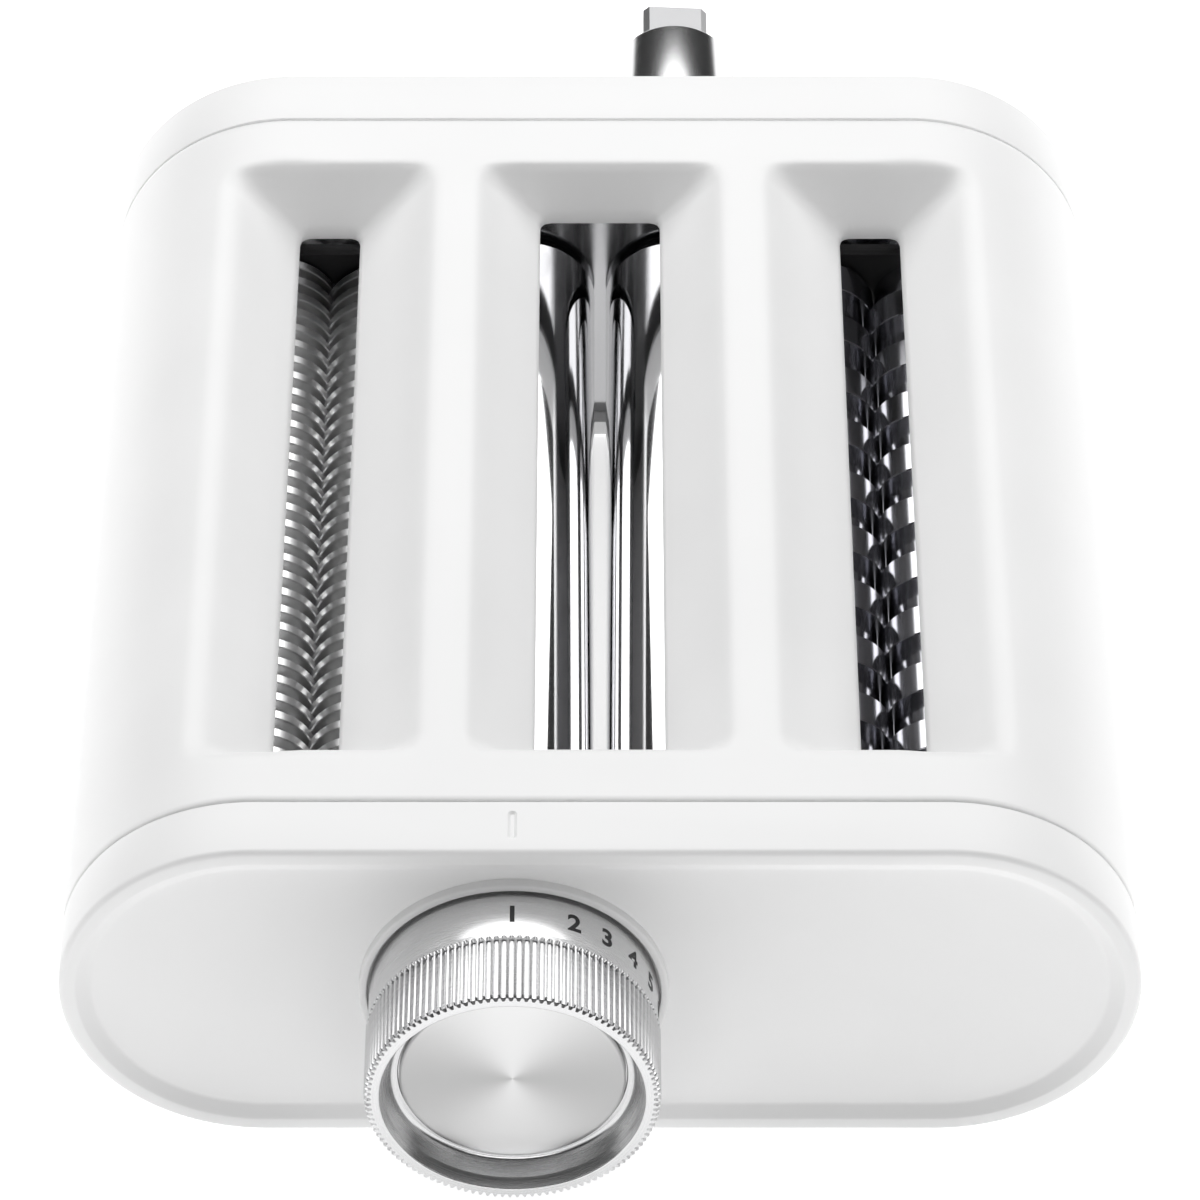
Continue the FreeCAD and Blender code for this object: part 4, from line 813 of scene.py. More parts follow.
@dataclass(frozen=True)
class Sleeve:
    """The middle of the housing with its three hoppers and three outlets."""

    wall: float = 3.0
    funnel_wall: float = 2.0
    slot_lip: float = 1.0
    hopper_inset: float = 1.6
    outlet_inset: float = 0.9
    slot_shift: float = 0.4
    edge: float = 0.2

    def funnels(self, datum: Datum) -> list[Funnel]:
        """The three hoppers.

        Args:
            datum: Places read from the frame.

        Returns:
            The middle hopper, then the left and the right one.
        """
        y0, y1 = datum.roller_front + self.hopper_inset, datum.roller_rear - self.hopper_inset
        pair = (datum.inner_x + datum.outer_x) / 2 - self.slot_shift
        sides = [Funnel(s * pair, 5.4, 12.0, 13.6, 5.5, y0, y1, 1.6, 3.4) for s in (-1, 1)]
        return [Funnel(0.0, 10.7, 9.7, 11.0, 3.9, y0, y1, 1.3, 1.3)] + sides

    def outlets(self, datum: Datum) -> list[tuple[float, float]]:
        """Middle and half width of the three outlets."""
        pair = (datum.inner_x + datum.outer_x) / 2
        return [(0.0, 17.0), (-pair, 13.0), (pair, 13.0)]

    def outline(self, datum: Datum) -> tuple[np.ndarray, np.ndarray, np.ndarray]:
        """Divides the section's loop so that it is fine where a hopper or an outlet starts.

        Args:
            datum: Places read from the frame.

        Returns:
            For each point x, its angle from straight up (signed by side) and 1 on top or -1 below.
        """
        flat = (datum.width - datum.height) / 2
        half = [0.0]
        for funnel in self.funnels(datum):
            for reach in (funnel.half_width, funnel.half_width + funnel.side_run):
                half += [abs(funnel.x + s * reach) for s in (-1, 1)]
        marks = sorted({round(v, 4) for v in half if v < flat})
        top = graded(marks + [flat], 0.55, 2.4, 4.0)
        under = sorted({round(abs(x + s * w), 4) for x, w in self.outlets(datum) for s in (-1, 1)})
        low = graded([0.0] + [v for v in under if v < flat] + [flat], 0.8, 4.0, 4.0)
        edge = math.degrees(math.asin((under[-1] - flat) / (datum.height / 2)))
        arc = graded([0.0, 26.0, 90.0], 1.1, 5.0, 45.0)[:-1]
        arc += [180 - a for a in reversed(graded([0.0, edge, 90.0], 1.6, 5.0, 40.0))]
        rows = [(x, 0.0, 1) for x in top]
        rows += [(flat, a, 1 if a < 90 else -1) for a in arc[1:-1]]
        rows += [(x, 180.0, -1) for x in reversed(low)]
        left = [(-x, -a, side) for x, a, side in reversed(rows)]
        loop = rows + left[1:-1]
        table = np.array(loop)
        return table[:, 0], table[:, 1], table[:, 2]

    def build(self, datum: Datum) -> bpy.types.Object:
        """Makes the sleeve as one closed mesh.

        Args:
            datum: Places read from the frame.

        Returns:
            The piece.
        """
        centre, angle, side = self.outline(datum)
        radius, inner = datum.height / 2, datum.height / 2 - self.wall
        turn = np.radians(angle)
        x = centre + radius * np.sin(turn)
        z = datum.axis_z + radius * np.cos(turn)
        tilt = np.radians(np.minimum(np.abs(angle), 180 - np.abs(angle)))
        same = np.arcsin(np.clip(radius / inner * np.sin(tilt), -1, 1))
        share = np.clip((math.radians(60) - tilt) / math.radians(30), 0, 1)
        tilt_in = tilt + (same - tilt) * share * share * (3 - 2 * share)
        turn_in = np.sign(angle) * np.where(np.abs(angle) > 90, math.pi - tilt_in, tilt_in)
        x_in = centre + inner * np.sin(turn_in)
        z_in = datum.axis_z + inner * np.cos(turn_in)
        funnels = self.funnels(datum)
        y0, y1 = funnels[0].y0, funnels[0].y1
        out1 = datum.roller_rear - self.outlet_inset
        near = sorted({datum.seam_front, datum.seam_front + self.edge, y0, y0 + funnels[0].end_run,
                       y0 + funnels[1].end_run, y1 - funnels[1].end_run, y1 - funnels[0].end_run, y1, out1,
                       datum.seam_rear - self.edge, datum.seam_rear})
        rows = np.array(graded(near, 0.6, 6.0, 9.0))
        gx, gy = np.meshgrid(x, rows)
        gz = np.broadcast_to(z, gx.shape).copy()
        hx, hy = np.meshgrid(x_in, rows)
        hz = np.broadcast_to(z_in, hx.shape).copy()
        holes = np.zeros((len(rows) - 1, len(x)), bool)
        upper = np.broadcast_to(side > 0, gx.shape)
        mid_y = (rows[1:] + rows[:-1]) / 2
        next_x = np.roll(x, -1)
        mid_x, mid_side = (x + next_x) / 2, side + np.roll(side, -1)
        spots = [(f.x, f.half_width, f.y0 + f.end_run, f.y1 - f.end_run, 2.0, 1) for f in funnels]
        spots += [(c, w, y0, out1, 4.0, -1) for c, w in self.outlets(datum)]
        for cx, half, low, high, corner, way in spots:
            inside = (np.abs(mid_x - cx) < half) & (mid_side * way > 0)
            holes |= inside[None, :] & ((mid_y > low) & (mid_y < high))[:, None]
            shell_side = upper if way > 0 else ~upper
            for grid_x, grid_y in ((gx, gy), (hx, hy)):
                self.round_corners(grid_x, grid_y, shell_side, (cx, half, low, high), corner)
        for funnel in funnels:
            level = datum.height - funnel.depth
            surface = level + funnel.depth * np.maximum(funnel.share(gx, gy, 0.0), 0)
            outwards = np.clip(np.sign(funnel.x) * (gx - funnel.x) / funnel.half_width, 0, 1)
            soft = funnel.rim + (funnel.outer_rim - funnel.rim) * outwards
            gap = np.clip(1 - np.abs(gz - surface) / soft, 0, 1)
            blended = np.minimum(gz, surface) - gap * gap * soft / 4
            under = level - self.slot_lip + funnel.depth * np.maximum(
                funnel.share(hx, hy, self.funnel_wall), 0)
            near_top = upper & (np.abs(gx) < datum.width / 2 - 12)
            gz = np.where(near_top, blended, gz)
            hz = np.where(near_top, np.minimum(hz, under), hz)
        for end in (0, -1):
            gx[end] -= self.edge * np.sin(turn)
            gz[end] -= self.edge * np.cos(turn)
        builder = MeshBuilder()
        count = len(x)
        outer = [builder.ring(np.column_stack([gx[i], gy[i], gz[i]])) for i in range(len(rows))]
        inside_rings = [builder.ring(np.column_stack([hx[i], hy[i], hz[i]])) for i in range(len(rows))]
        for i in range(len(rows) - 1):
            for j in range(count):
                k = (j + 1) % count
                if not holes[i, j]:
                    builder.faces.append([outer[i][j], outer[i][k], outer[i + 1][k], outer[i + 1][j]])
                    builder.faces.append([inside_rings[i][j], inside_rings[i + 1][j],
                                          inside_rings[i + 1][k], inside_rings[i][k]])
                    continue
                sides = ((i, j, i, k, i > 0 and holes[i - 1, j]), (i + 1, k, i + 1, j, holes[i + 1, j]),
                         (i + 1, j, i, j, holes[i, j - 1]), (i, k, i + 1, k, holes[i, k]))
                for a, b, c, d, open_too in sides:
                    if not open_too:
                        builder.faces.append([outer[a][b], outer[c][d],
                                              inside_rings[c][d], inside_rings[a][b]])
        builder.skin([outer[0], inside_rings[0]])
        builder.skin([inside_rings[-1], outer[-1]])
        return builder.build("housing_sleeve", datum, sharp=50)

    @staticmethod
    def round_corners(grid_x: np.ndarray, grid_y: np.ndarray, where: np.ndarray,
                      spot: tuple[float, float, float, float], corner: float) -> None:
        """Bends the grid so that the corners of one rectangle become round.

        Args:
            grid_x: Places across, changed in place.
            grid_y: Places along, changed in place.
            where: Which places may move.
            spot: Middle, half width and both ends of the rectangle.
            corner: The corners' radius.
        """
        cx, half, low, high = spot
        reach = 3.0
        for sx in (-1, 1):
            for y, sy in ((low, -1), (high, 1)):
                u = sx * (grid_x - (cx + sx * (half - corner)))
                v = sy * (grid_y - (y - sy * corner))
                square, true = np.maximum(u, v), np.maximum(np.hypot(u, v), 1e-9)
                weight = np.clip(1 - (square - corner) / reach, 0, 1)
                use = where & (u > 0) & (v > 0) & (square < corner + reach)
                scale = np.where(use, 1 + weight * (square / true - 1), 1.0)
                move_x, move_y = u * (scale - 1), v * (scale - 1)
                grid_x += sx * np.where(use, move_x, 0)
                grid_y += sy * np.where(use, move_y, 0)


@dataclass(frozen=True)
class Caps:
    """The front and rear caps of the housing."""

    wall: float = 3.0
    seam_width: float = 0.5
    seam_depth: float = 0.6
    lip: float = 2.8
    slope: float = 2.3
    panel: float = 1.4
    pillar_x: float = 77.0
    pillar_dz: float = 11.0
    pillar_radius: float = 4.0
    pillar_bore: float = 1.7
    pillar_end: float = 17.5
    end_points: int = 61
    dial_bore: float = 7.0
    dial_boss: float = 10.0
    boss_end: float = 7.8
    detent_rise: float = 16.6
    detent_radius: float = 3.0
    detent_bore: float = 1.55
    sink: float = 0.4
    mark_half_width: float = 0.55
    mark_front: float = 3.3
    mark_rear: float = 9.3
    pocket_radius: float = 3.8
    pocket_depth: float = 3.0
    screw_bore: float = 2.0
    rear_post_radius: float = 4.5
    rear_post_end: float = 180.8
    stud_radius: float = 5.0
    stud_bore: float = 3.0
    stud_end: float = 193.5

    def ring(self, builder: MeshBuilder, datum: Datum, inset: float, y: float) -> list[int]:
        """Adds the housing's outline, moved in by inset, at y.

        Args:
            builder: Takes the points.
            datum: Places read from the frame.
            inset: How far the outline is moved in.
            y: The outline's place along.

        Returns:
            The point numbers.
        """
        radius, flat = datum.height / 2 - inset, (datum.width - datum.height) / 2
        halves = []
        for side, turned in ((1, 0.0), (-1, math.pi)):
            a = np.radians(np.linspace(0, 180, self.end_points)) + turned
            x, z = side * flat + radius * np.sin(a), datum.axis_z + radius * np.cos(a)
            halves.append(np.column_stack([x, np.full(self.end_points, y), z]))
        return builder.ring(np.vstack(halves))

    def shell(self, builder: MeshBuilder, datum: Datum, path: Sequence[Point2]) -> list[list[int]]:
        """Stacks outlines along a path of (inset, y)."""
        rings = [self.ring(builder, datum, inset, y) for inset, y in path]
        builder.skin(rings)
        return rings

    def posts(self, datum: Datum) -> list[Point2]:
        """Where the pillars stand."""
        return [(sx * self.pillar_x, datum.axis_z + sz * self.pillar_dz) for sx in (-1, 1) for sz in (-1, 1)]

    @staticmethod
    def tube(builder: MeshBuilder, radii: Point2, ends: Point2, x: float, z: float) -> None:
        """Adds a closed tube of the given inner and outer radius between two places along Y."""
        (inner, outer), (y0, y1) = radii, ends
        builder.lathe([(inner, y0), (outer, y0), (outer, y1), (inner, y1)], x, z, 32, True)

    def front(self, datum: Datum) -> bpy.types.Object:
        """Makes the front cap with its recessed panel and the index mark.

        Args:
            datum: Places read from the frame.

        Returns:
            The piece.
        """
        builder = MeshBuilder()
        seam, drop = datum.seam_front, self.seam_depth
        path = rounded_path([
            (self.wall, seam, 0), (drop, seam, 0.1), (drop, seam - self.seam_width, 0.05),
            (0, seam - self.seam_width, 0.2), (0, 0, 1.0), (self.lip, 0, 0.9),
            (self.lip + self.slope, self.panel, 1.6), (self.lip + self.slope + 2, self.panel, 0)])
        rings = self.shell(builder, datum, path)
        back = self.panel + self.wall
        inner = self.shell(builder, datum, rounded_path([
            (self.wall, seam, 0), (self.wall, back, 0.8), (self.wall + 2, back, 0)]))
        x, z = datum.dial_x, datum.axis_z
        bore = [builder.ring(circle(self.dial_bore, y, x, z)) for y in (self.panel, self.boss_end)]
        collar = [builder.ring(circle(self.dial_boss, y, x, z)) for y in (self.boss_end, back)]
        builder.plate(rings[-1], [bore[0]])
        builder.skin([bore[0], bore[1], collar[0], collar[1]])
        builder.plate(inner[-1], [collar[1]])
        for px, pz in self.posts(datum):
            self.tube(builder, (self.pillar_bore, self.pillar_radius), (back - self.sink, self.pillar_end),
                      px, pz)
        self.tube(builder, (self.detent_bore, self.detent_radius), (back - self.sink, self.boss_end),
                  x, z + self.detent_rise)
        cap = builder.build("cap_front", datum, sharp=38)
        cutter = MeshBuilder()
        a = np.radians(np.linspace(0, 180, 17))
        y0, y1 = self.mark_front + self.mark_half_width, self.mark_rear - self.mark_half_width
        levels = []
        for radius, level in ((0.3, datum.height - 0.4), (0.75, datum.height), (0.75, datum.height + 1)):
            ends = [(x + radius * math.cos(t), y1 + radius * math.sin(t)) for t in a]
            ends += [(x - radius * math.cos(t), y0 - radius * math.sin(t)) for t in a]
            levels.append(cutter.ring([(ex, ey, level) for ex, ey in ends]))
        cutter.skin(levels)
        cutter.plate(levels[0])
        cutter.plate(levels[-1])
        tool = cutter.build("index_tool", datum)
        return cut_out(cap, tool, 38)

    def rear(self, datum: Datum, boss: float, boss_radius: float, seat: float) -> bpy.types.Object:
        """Makes the rear cap with the hub boss and the screw pockets.

        Args:
            datum: Places read from the frame.
            boss: Length of the hub boss.
            boss_radius: Its radius.
            seat: Radius of the spigot's seat in it.

        Returns:
            The piece.
        """
        builder = MeshBuilder()
        seam, drop, end = datum.seam_rear, self.seam_depth, datum.length
        rings = self.shell(builder, datum, rounded_path([
            (self.wall, seam, 0), (drop, seam, 0.1), (drop, seam + self.seam_width, 0.05),
            (0, seam + self.seam_width, 0.2), (0, end, 1.0), (3, end, 0)]))
        inner = self.shell(builder, datum, rounded_path([
            (self.wall, seam, 0), (self.wall, end - self.wall, 0.8), (self.wall + 2, end - self.wall, 0)]))
        x, z = datum.sheet_x, datum.axis_z
        path = rounded_path([(boss_radius, end, 0), (boss_radius, end + boss, 1.0), (seat, end + boss, 0.3),
                             (seat, end - self.wall, 0)])
        hub = [builder.ring(circle(r, y, x, z, 96)) for r, y in path]
        builder.skin(hub)
        outside, inside = [hub[0]], [hub[-1]]
        for px, pz in self.posts(datum):
            floor = end - self.pocket_depth
            profile = [(self.pocket_radius, end), (self.pocket_radius, floor), (self.screw_bore, floor),
                       (self.screw_bore, self.rear_post_end), (self.rear_post_radius, self.rear_post_end),
                       (self.rear_post_radius, end - self.wall)]
            post = [builder.ring(circle(r, y, px, pz, 40)) for r, y in profile]
            builder.skin(post)
            outside.append(post[0])
            inside.append(post[-1])
        builder.plate(rings[-1], outside)
        builder.plate(inner[-1], inside)
        low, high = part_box("idler_stud")
        stud_x, stud_z = (low.x + high.x) / 2 / MM, (low.z + high.z) / 2 / MM
        self.tube(builder, (self.stud_bore, self.stud_radius), (self.stud_end, end - self.wall + self.sink),
                  stud_x, stud_z)
        return builder.build("cap_rear", datum, sharp=38)


def cut_out(piece: bpy.types.Object, tool: bpy.types.Object, sharp: float) -> bpy.types.Object:
    """Cuts the tool from the piece and returns the piece as a plain mesh; the tool is removed.

    Args:
        piece: The piece to cut.
        tool: The closed mesh that is taken away.
        sharp: Edges that turn by more than this many degrees stay crisp.

    Returns:
        The cut piece, under the same name.
    """
    modifier = piece.modifiers.new("cut", "BOOLEAN")
    modifier.object = tool
    modifier.operation = "DIFFERENCE"
    modifier.solver = "EXACT"
    bpy.context.view_layer.update()
    evaluated = piece.evaluated_get(bpy.context.evaluated_depsgraph_get())
    mesh = bpy.data.meshes.new_from_object(evaluated)
    name = piece.name
    bpy.data.objects.remove(piece)
    bpy.data.objects.remove(tool)
    return finished(name, mesh, sharp)


# ---- thickness dial -----------------------------------------------------------------------------
@dataclass(frozen=True)
class Dial:
    """The knurled knob, its spun disc and the ring that carries the numbers."""

    front: float = -23.2
    knurl_end: float = -9.3
    radius: float = 23.8
    groove: float = 0.75
    flutes: int = 120
    ring_radius: float = 23.5
    shell_inside: float = 21.0
    number_height: float = 3.3
    number_foot: float = -6.4

    def grip(self, datum: Datum, repeat: RepeatTree, finish: bpy.types.Material) -> bpy.types.Object:
        """Makes the knurled shell: one flute, repeated round the axis.

        Args:
            datum: Places read from the frame.
            repeat: The tree that repeats round an axis.
            finish: The material of the flutes.

        Returns:
            The piece.
        """
        pitch = 360 / self.flutes
        shares = np.array([-0.5, -0.34, -0.29, -0.24, -0.17, -0.1, 0.0, 0.1, 0.17, 0.24, 0.29, 0.34, 0.5])
        arc = shares * math.radians(pitch) * self.radius
        stations = [self.front + 0.45, self.front + 0.6, -14.0, -10.7, -10.5, -10.3, -10.1, -9.95, -9.8,
                    -9.65]
        half, end = 0.34, -10.35
        profile = []
        for y in stations:
            beyond = max(y - end, 0.0)
            away = np.hypot(arc, beyond) - half
            profile.append((self.radius - self.groove * np.clip(0.5 - away / 0.26, 0, 1), y))
        lip = profile[0][0] - 0.42
        across = len(shares)
        rings = [(lip, self.front)] + profile + [(np.full(across, self.radius), self.knurl_end)]
        inner = rounded_path([
            (21.8, self.front, 0), (21.3, self.front, 0.4), (20.9, self.front + 2.2, 1.5),
            (19.6, self.front + 5.4, 1.2), (18.4, self.front + 5.4, 0.2), (18.4, self.front + 6.0, 0.0),
            (4.2, self.front + 6.0, 0), (4.2, self.front + 6.9, 0), (self.shell_inside, self.front + 6.9, 0),
            (self.shell_inside, self.knurl_end, 0)], 4)
        inside = [(np.full(across, r), y) for r, y in reversed(inner)][:-1]
        rings = inside + [(np.full(across, inner[0][0]), self.front)] + rings
        builder = MeshBuilder()
        turn = shares * math.radians(pitch)
        lines = []
        for radii, y in rings:
            lines.append(builder.ring(np.column_stack(
                [radii * np.sin(turn), np.full(across, y), radii * np.cos(turn)])))
        builder.skin(lines + [lines[0]], closed=False)
        sector = builder.build("grip_sector", datum)
        mesh = repeat.run(sector, {
            "Count": self.flutes, "Step": (0.0, math.radians(pitch), 0.0), "Weld": 2e-6, "Finish": finish,
            "Centre": (datum.dial_x * MM, 0.0, datum.axis_z * MM)})
        return finished("knob", mesh, 30)

    def disc(self, datum: Datum) -> bpy.types.Object:
        """Makes the spun disc with the round map that its sheen follows.

        Args:
            datum: Places read from the frame.

        Returns:
            The piece.
        """
        builder = MeshBuilder()
        face, back = self.front + 4.5, self.front + 6.0
        radii = [1.2, 3.0, 6.0, 9.0, 12.0, 15.0, 17.4, 17.75]
        profile = [(0.0, face)] + [(r, face) for r in radii] + [(18.05, face + 0.08), (18.2, face + 0.3),
                                                               (18.2, back), (0.0, back)]
        builder.lathe(profile, datum.dial_x, datum.axis_z, 128)
        disc = builder.build("dial_disc", datum, sharp=60)
        layer = disc.data.uv_layers.new(name="round")
        for face_ in disc.data.polygons:
            middle = face_.center
            base = math.atan2(middle.z - datum.axis_z * MM, middle.x - datum.dial_x * MM)
            for loop in face_.loop_indices:
                point = disc.data.vertices[disc.data.loops[loop].vertex_index].co
                dx, dz = point.x - datum.dial_x * MM, point.z - datum.axis_z * MM
                a = math.atan2(dz, dx) if math.hypot(dx, dz) > 1e-6 else base
                a = base + math.remainder(a - base, 2 * math.pi)
                layer.data[loop].uv = (a / (2 * math.pi) * 8, math.hypot(dx, dz) / MM / 18)
        return disc

    def ring(self, datum: Datum) -> bpy.types.Object:
        """Makes the smooth ring behind the knurl.

        Args:
            datum: Places read from the frame.

        Returns:
            The piece.
        """
        builder = MeshBuilder()
        r = self.ring_radius
        builder.lathe(rounded_path([
            (self.shell_inside, self.knurl_end, 0), (r, self.knurl_end, 0.1), (r, 0.8, 0.3), (19.45, 0.8, 0),
            (19.45, self.knurl_end - 3, 0), (self.shell_inside, self.knurl_end - 3, 0)], 3),
            datum.dial_x, datum.axis_z, 192, True)
        return builder.build("number_ring", datum)

    def numbers(self, datum: Datum) -> bpy.types.Object:
        """Makes the figures 1 to 8, wrapped round the ring.

        Args:
            datum: Places read from the frame.

        Returns:
            The piece.
        """
        joined = bmesh.new()
        for i in range(8):
            curve = bpy.data.curves.new("figure", "FONT")
            curve.body = str(i + 1)
            curve.align_x = "CENTER"
            curve.size = self.number_height / 0.68
            curve.offset = 0.14
            curve.extrude = 0.03
            curve.resolution_u = 6
            text = bpy.data.objects.new("figure", curve)
            bpy.context.scene.collection.objects.link(text)
            bpy.context.view_layer.update()
            mesh = bpy.data.meshes.new_from_object(text.evaluated_get(bpy.context.evaluated_depsgraph_get()))
            turn = math.radians(0 if i == 0 else 25.0 + 15.2 * (i - 1))
            for vertex in mesh.vertices:
                angle = turn + vertex.co.x / self.ring_radius
                radius = self.ring_radius + 0.012 + (vertex.co.z + 0.03) * 0.3
                vertex.co = ((datum.dial_x + radius * math.sin(angle)) * MM,
                             (self.number_foot + vertex.co.y) * MM + datum.front,
                             (datum.axis_z + radius * math.cos(angle)) * MM)
            joined.from_mesh(mesh)
            bpy.data.objects.remove(text)
        mesh = bpy.data.meshes.new("numbers")
        joined.to_mesh(mesh)
        joined.free()
        return finished("numbers", mesh, 20, 1e-5)

    def bezel(self, datum: Datum) -> bpy.types.Object:
        """Makes the thin ring round the foot of the dial.

        Args:
            datum: Places read from the frame.

        Returns:
            The piece.
        """
        inner = self.ring_radius + 0.4
        builder = MeshBuilder()
        builder.lathe(rounded_path([
            (inner, 1.4, 0), (inner, -0.2, 0.25), (inner + 1.3, -0.2, 0.45), (inner + 1.3, 1.4, 0)], 4),
            datum.dial_x, datum.axis_z, 160, True)
        return builder.build("dial_bezel", datum)


# ---- rollers ------------------------------------------------------------------------------------
@dataclass(frozen=True)
class SheetRollers:
    """The two smooth rollers."""

    radius: float = 13.0
    journal: float = 5.0
    drive_ends: Point2 = (15.5, 206.0)
    adjust_ends: Point2 = (14.1, 188.6)

    def build(self, datum: Datum, name: str, x: float, ends: Point2) -> bpy.types.Object:
        """Makes one roller with its journals.

        Args:
            datum: Places read from the frame.
            name: The piece's name.
            x: Axis place across.
            ends: Where the front and the rear journal end.

        Returns:
            The piece.
        """
        builder = MeshBuilder()
        front, rear = ends
        y0, y1 = datum.roller_front, datum.roller_rear
        builder.lathe(rounded_path([
            (0, front, 0), (self.journal, front, 0.3), (self.journal, y0, 0), (self.radius, y0, 0.3),
            (self.radius, y1, 0.3), (self.journal, y1, 0), (self.journal, rear, 0.3), (0, rear, 0)], 3),
            x, datum.axis_z, 160)
        return builder.build(name, datum)


@dataclass(frozen=True)
class Cutters:
    """The two pairs of cutter rollers."""

    radius: float = 9.8
    ring_height: float = 2.1
    journal: float = 4.0
    side_gap: float = 0.06
    front: float = 16.5
    rear: float = 194.8

    def build(self, datum: Datum, name: str, x: float, pitch: float, lead: float, repeat: RepeatTree,
              finish: bpy.types.Material) -> bpy.types.Object:
        """Makes one cutter roller: a ring and its groove, repeated along the axis, and two journals.

        Args:
            datum: Places read from the frame.
            name: The piece's name.
            x: Axis place across.
            pitch: From one ring to the next.
            lead: From the roller's end to its first ring.
            repeat: The tree that repeats along a line.
            finish: The material of the rings.

        Returns:
            The piece.
        """
        width = pitch / 2 - 2 * self.side_gap
        root, bevel = self.radius - self.ring_height, min(0.18, width / 8)
        length = datum.roller_rear - datum.roller_front
        count = int((length - lead - width) / pitch) + 1
        start = datum.roller_front + lead
        period = MeshBuilder()
        period.lathe([(root, 0), (self.radius - bevel, 0), (self.radius, bevel), (self.radius, width - bevel),
                      (self.radius - bevel, width), (root, width), (root, pitch)], 0, 0, 96)
        ring = period.build("ring_period", Datum(0.0, *([0.0] * 14)))
        rings = repeat.run(ring, {
            "Count": count - 1, "Step": (0.0, pitch * MM, 0.0), "Weld": 1e-6, "Finish": finish,
            "Centre": (x * MM, start * MM + datum.front, datum.axis_z * MM)})
        ends = MeshBuilder()
        last = start + (count - 1) * pitch
        ends.lathe([(0, self.front), (self.journal, self.front), (self.journal, datum.roller_front),
                    (root, datum.roller_front), (root, start)], x, datum.axis_z, 96)
        ends.lathe([(root, last), (self.radius - bevel, last), (self.radius, last + bevel),
                    (self.radius, last + width - bevel), (self.radius - bevel, last + width),
                    (root, last + width),
                    (root, datum.roller_rear), (self.journal, datum.roller_rear), (self.journal, self.rear),
                    (0, self.rear)], x, datum.axis_z, 96)
        caps = ends.build("cutter_ends", datum)
        joined = bmesh.new()
        joined.from_mesh(rings)
        joined.from_mesh(caps.data)
        mesh = bpy.data.meshes.new(name)
        joined.to_mesh(mesh)
        joined.free()
        bpy.data.objects.remove(caps)
        return finished(name, mesh, 32, 1e-3)


# ---- hub ----------------------------------------------------------------------------------------
@dataclass(frozen=True)
class Hub:
    """The steel spigot and the square tang that the mixer drives."""

    boss_length: float = 12.7
    boss_radius: float = 21.5
    seat_radius: float = 11.6
    radius: float = 11.3
    bore: float = 9.4
    flange: float = 15.0
    flange_depth: float = 1.8
    shaft: float = 8.0
    across: float = 12.0
    corner: float = 1.1
    tilt: float = 3.0
    shaft_front: float = 194.0
    neck: float = 5.0
    neck_length: float = 12.0
    nose: float = 0.8
    nose_scale: float = 0.867
    cap_wall: float = 3.0

    def collar(self, datum: Datum) -> bpy.types.Object:
        """Makes the spigot.

        Args:
            datum: Places read from the frame.

        Returns:
            The piece.
        """
        builder = MeshBuilder()
        inner, end = datum.length - self.cap_wall, datum.hub_end
        builder.lathe(rounded_path([
            (self.bore, inner - self.flange_depth, 0), (self.flange, inner - self.flange_depth, 0.2),
            (self.flange, inner, 0.2), (self.seat_radius, inner, 0),
            (self.seat_radius, datum.length + self.boss_length, 0.1),
            (self.radius, datum.length + self.boss_length, 0), (self.radius, end, 0.5),
            (self.bore, end, 0.2)], 4),
            datum.sheet_x, datum.axis_z, 160, True)
        return builder.build("hub_spigot", datum)

    def tang(self, datum: Datum) -> bpy.types.Object:
        """Makes the drive shaft with its square end.

        Args:
            datum: Places read from the frame.

        Returns:
            The piece.
        """
        builder = MeshBuilder()
        x, z, front = datum.sheet_x, datum.axis_z, self.shaft_front
        half, cut = self.across / 2, self.across / 2 - self.corner
        square = [(half, cut), (cut, half), (-cut, half), (-half, cut), (-half, -cut), (-cut, -half),
                  (cut, -half), (half, -cut)]
        a = math.radians(self.tilt)
        square = [(px * math.cos(a) + pz * math.sin(a), -px * math.sin(a) + pz * math.cos(a))
                  for px, pz in square]
        rings = [builder.ring([(x + px * s, y, z + pz * s) for px, pz in square])
                 for s, y in ((1, datum.hub_end), (1, datum.tang_end - self.nose),
                              (self.nose_scale, datum.tang_end))]
        builder.skin(rings)
        builder.plate(rings[-1])
        round_ring = [builder.ring(circle(r, y, x, z, 96)) for r, y in
                      ((self.shaft, datum.hub_end), (self.shaft, front), (self.neck, front),
                       (self.neck, front + self.neck_length))]
        builder.plate(round_ring[0], [rings[0]])
        builder.skin(round_ring)
        builder.plate(round_ring[-1])
        return builder.build("square_tang", datum)


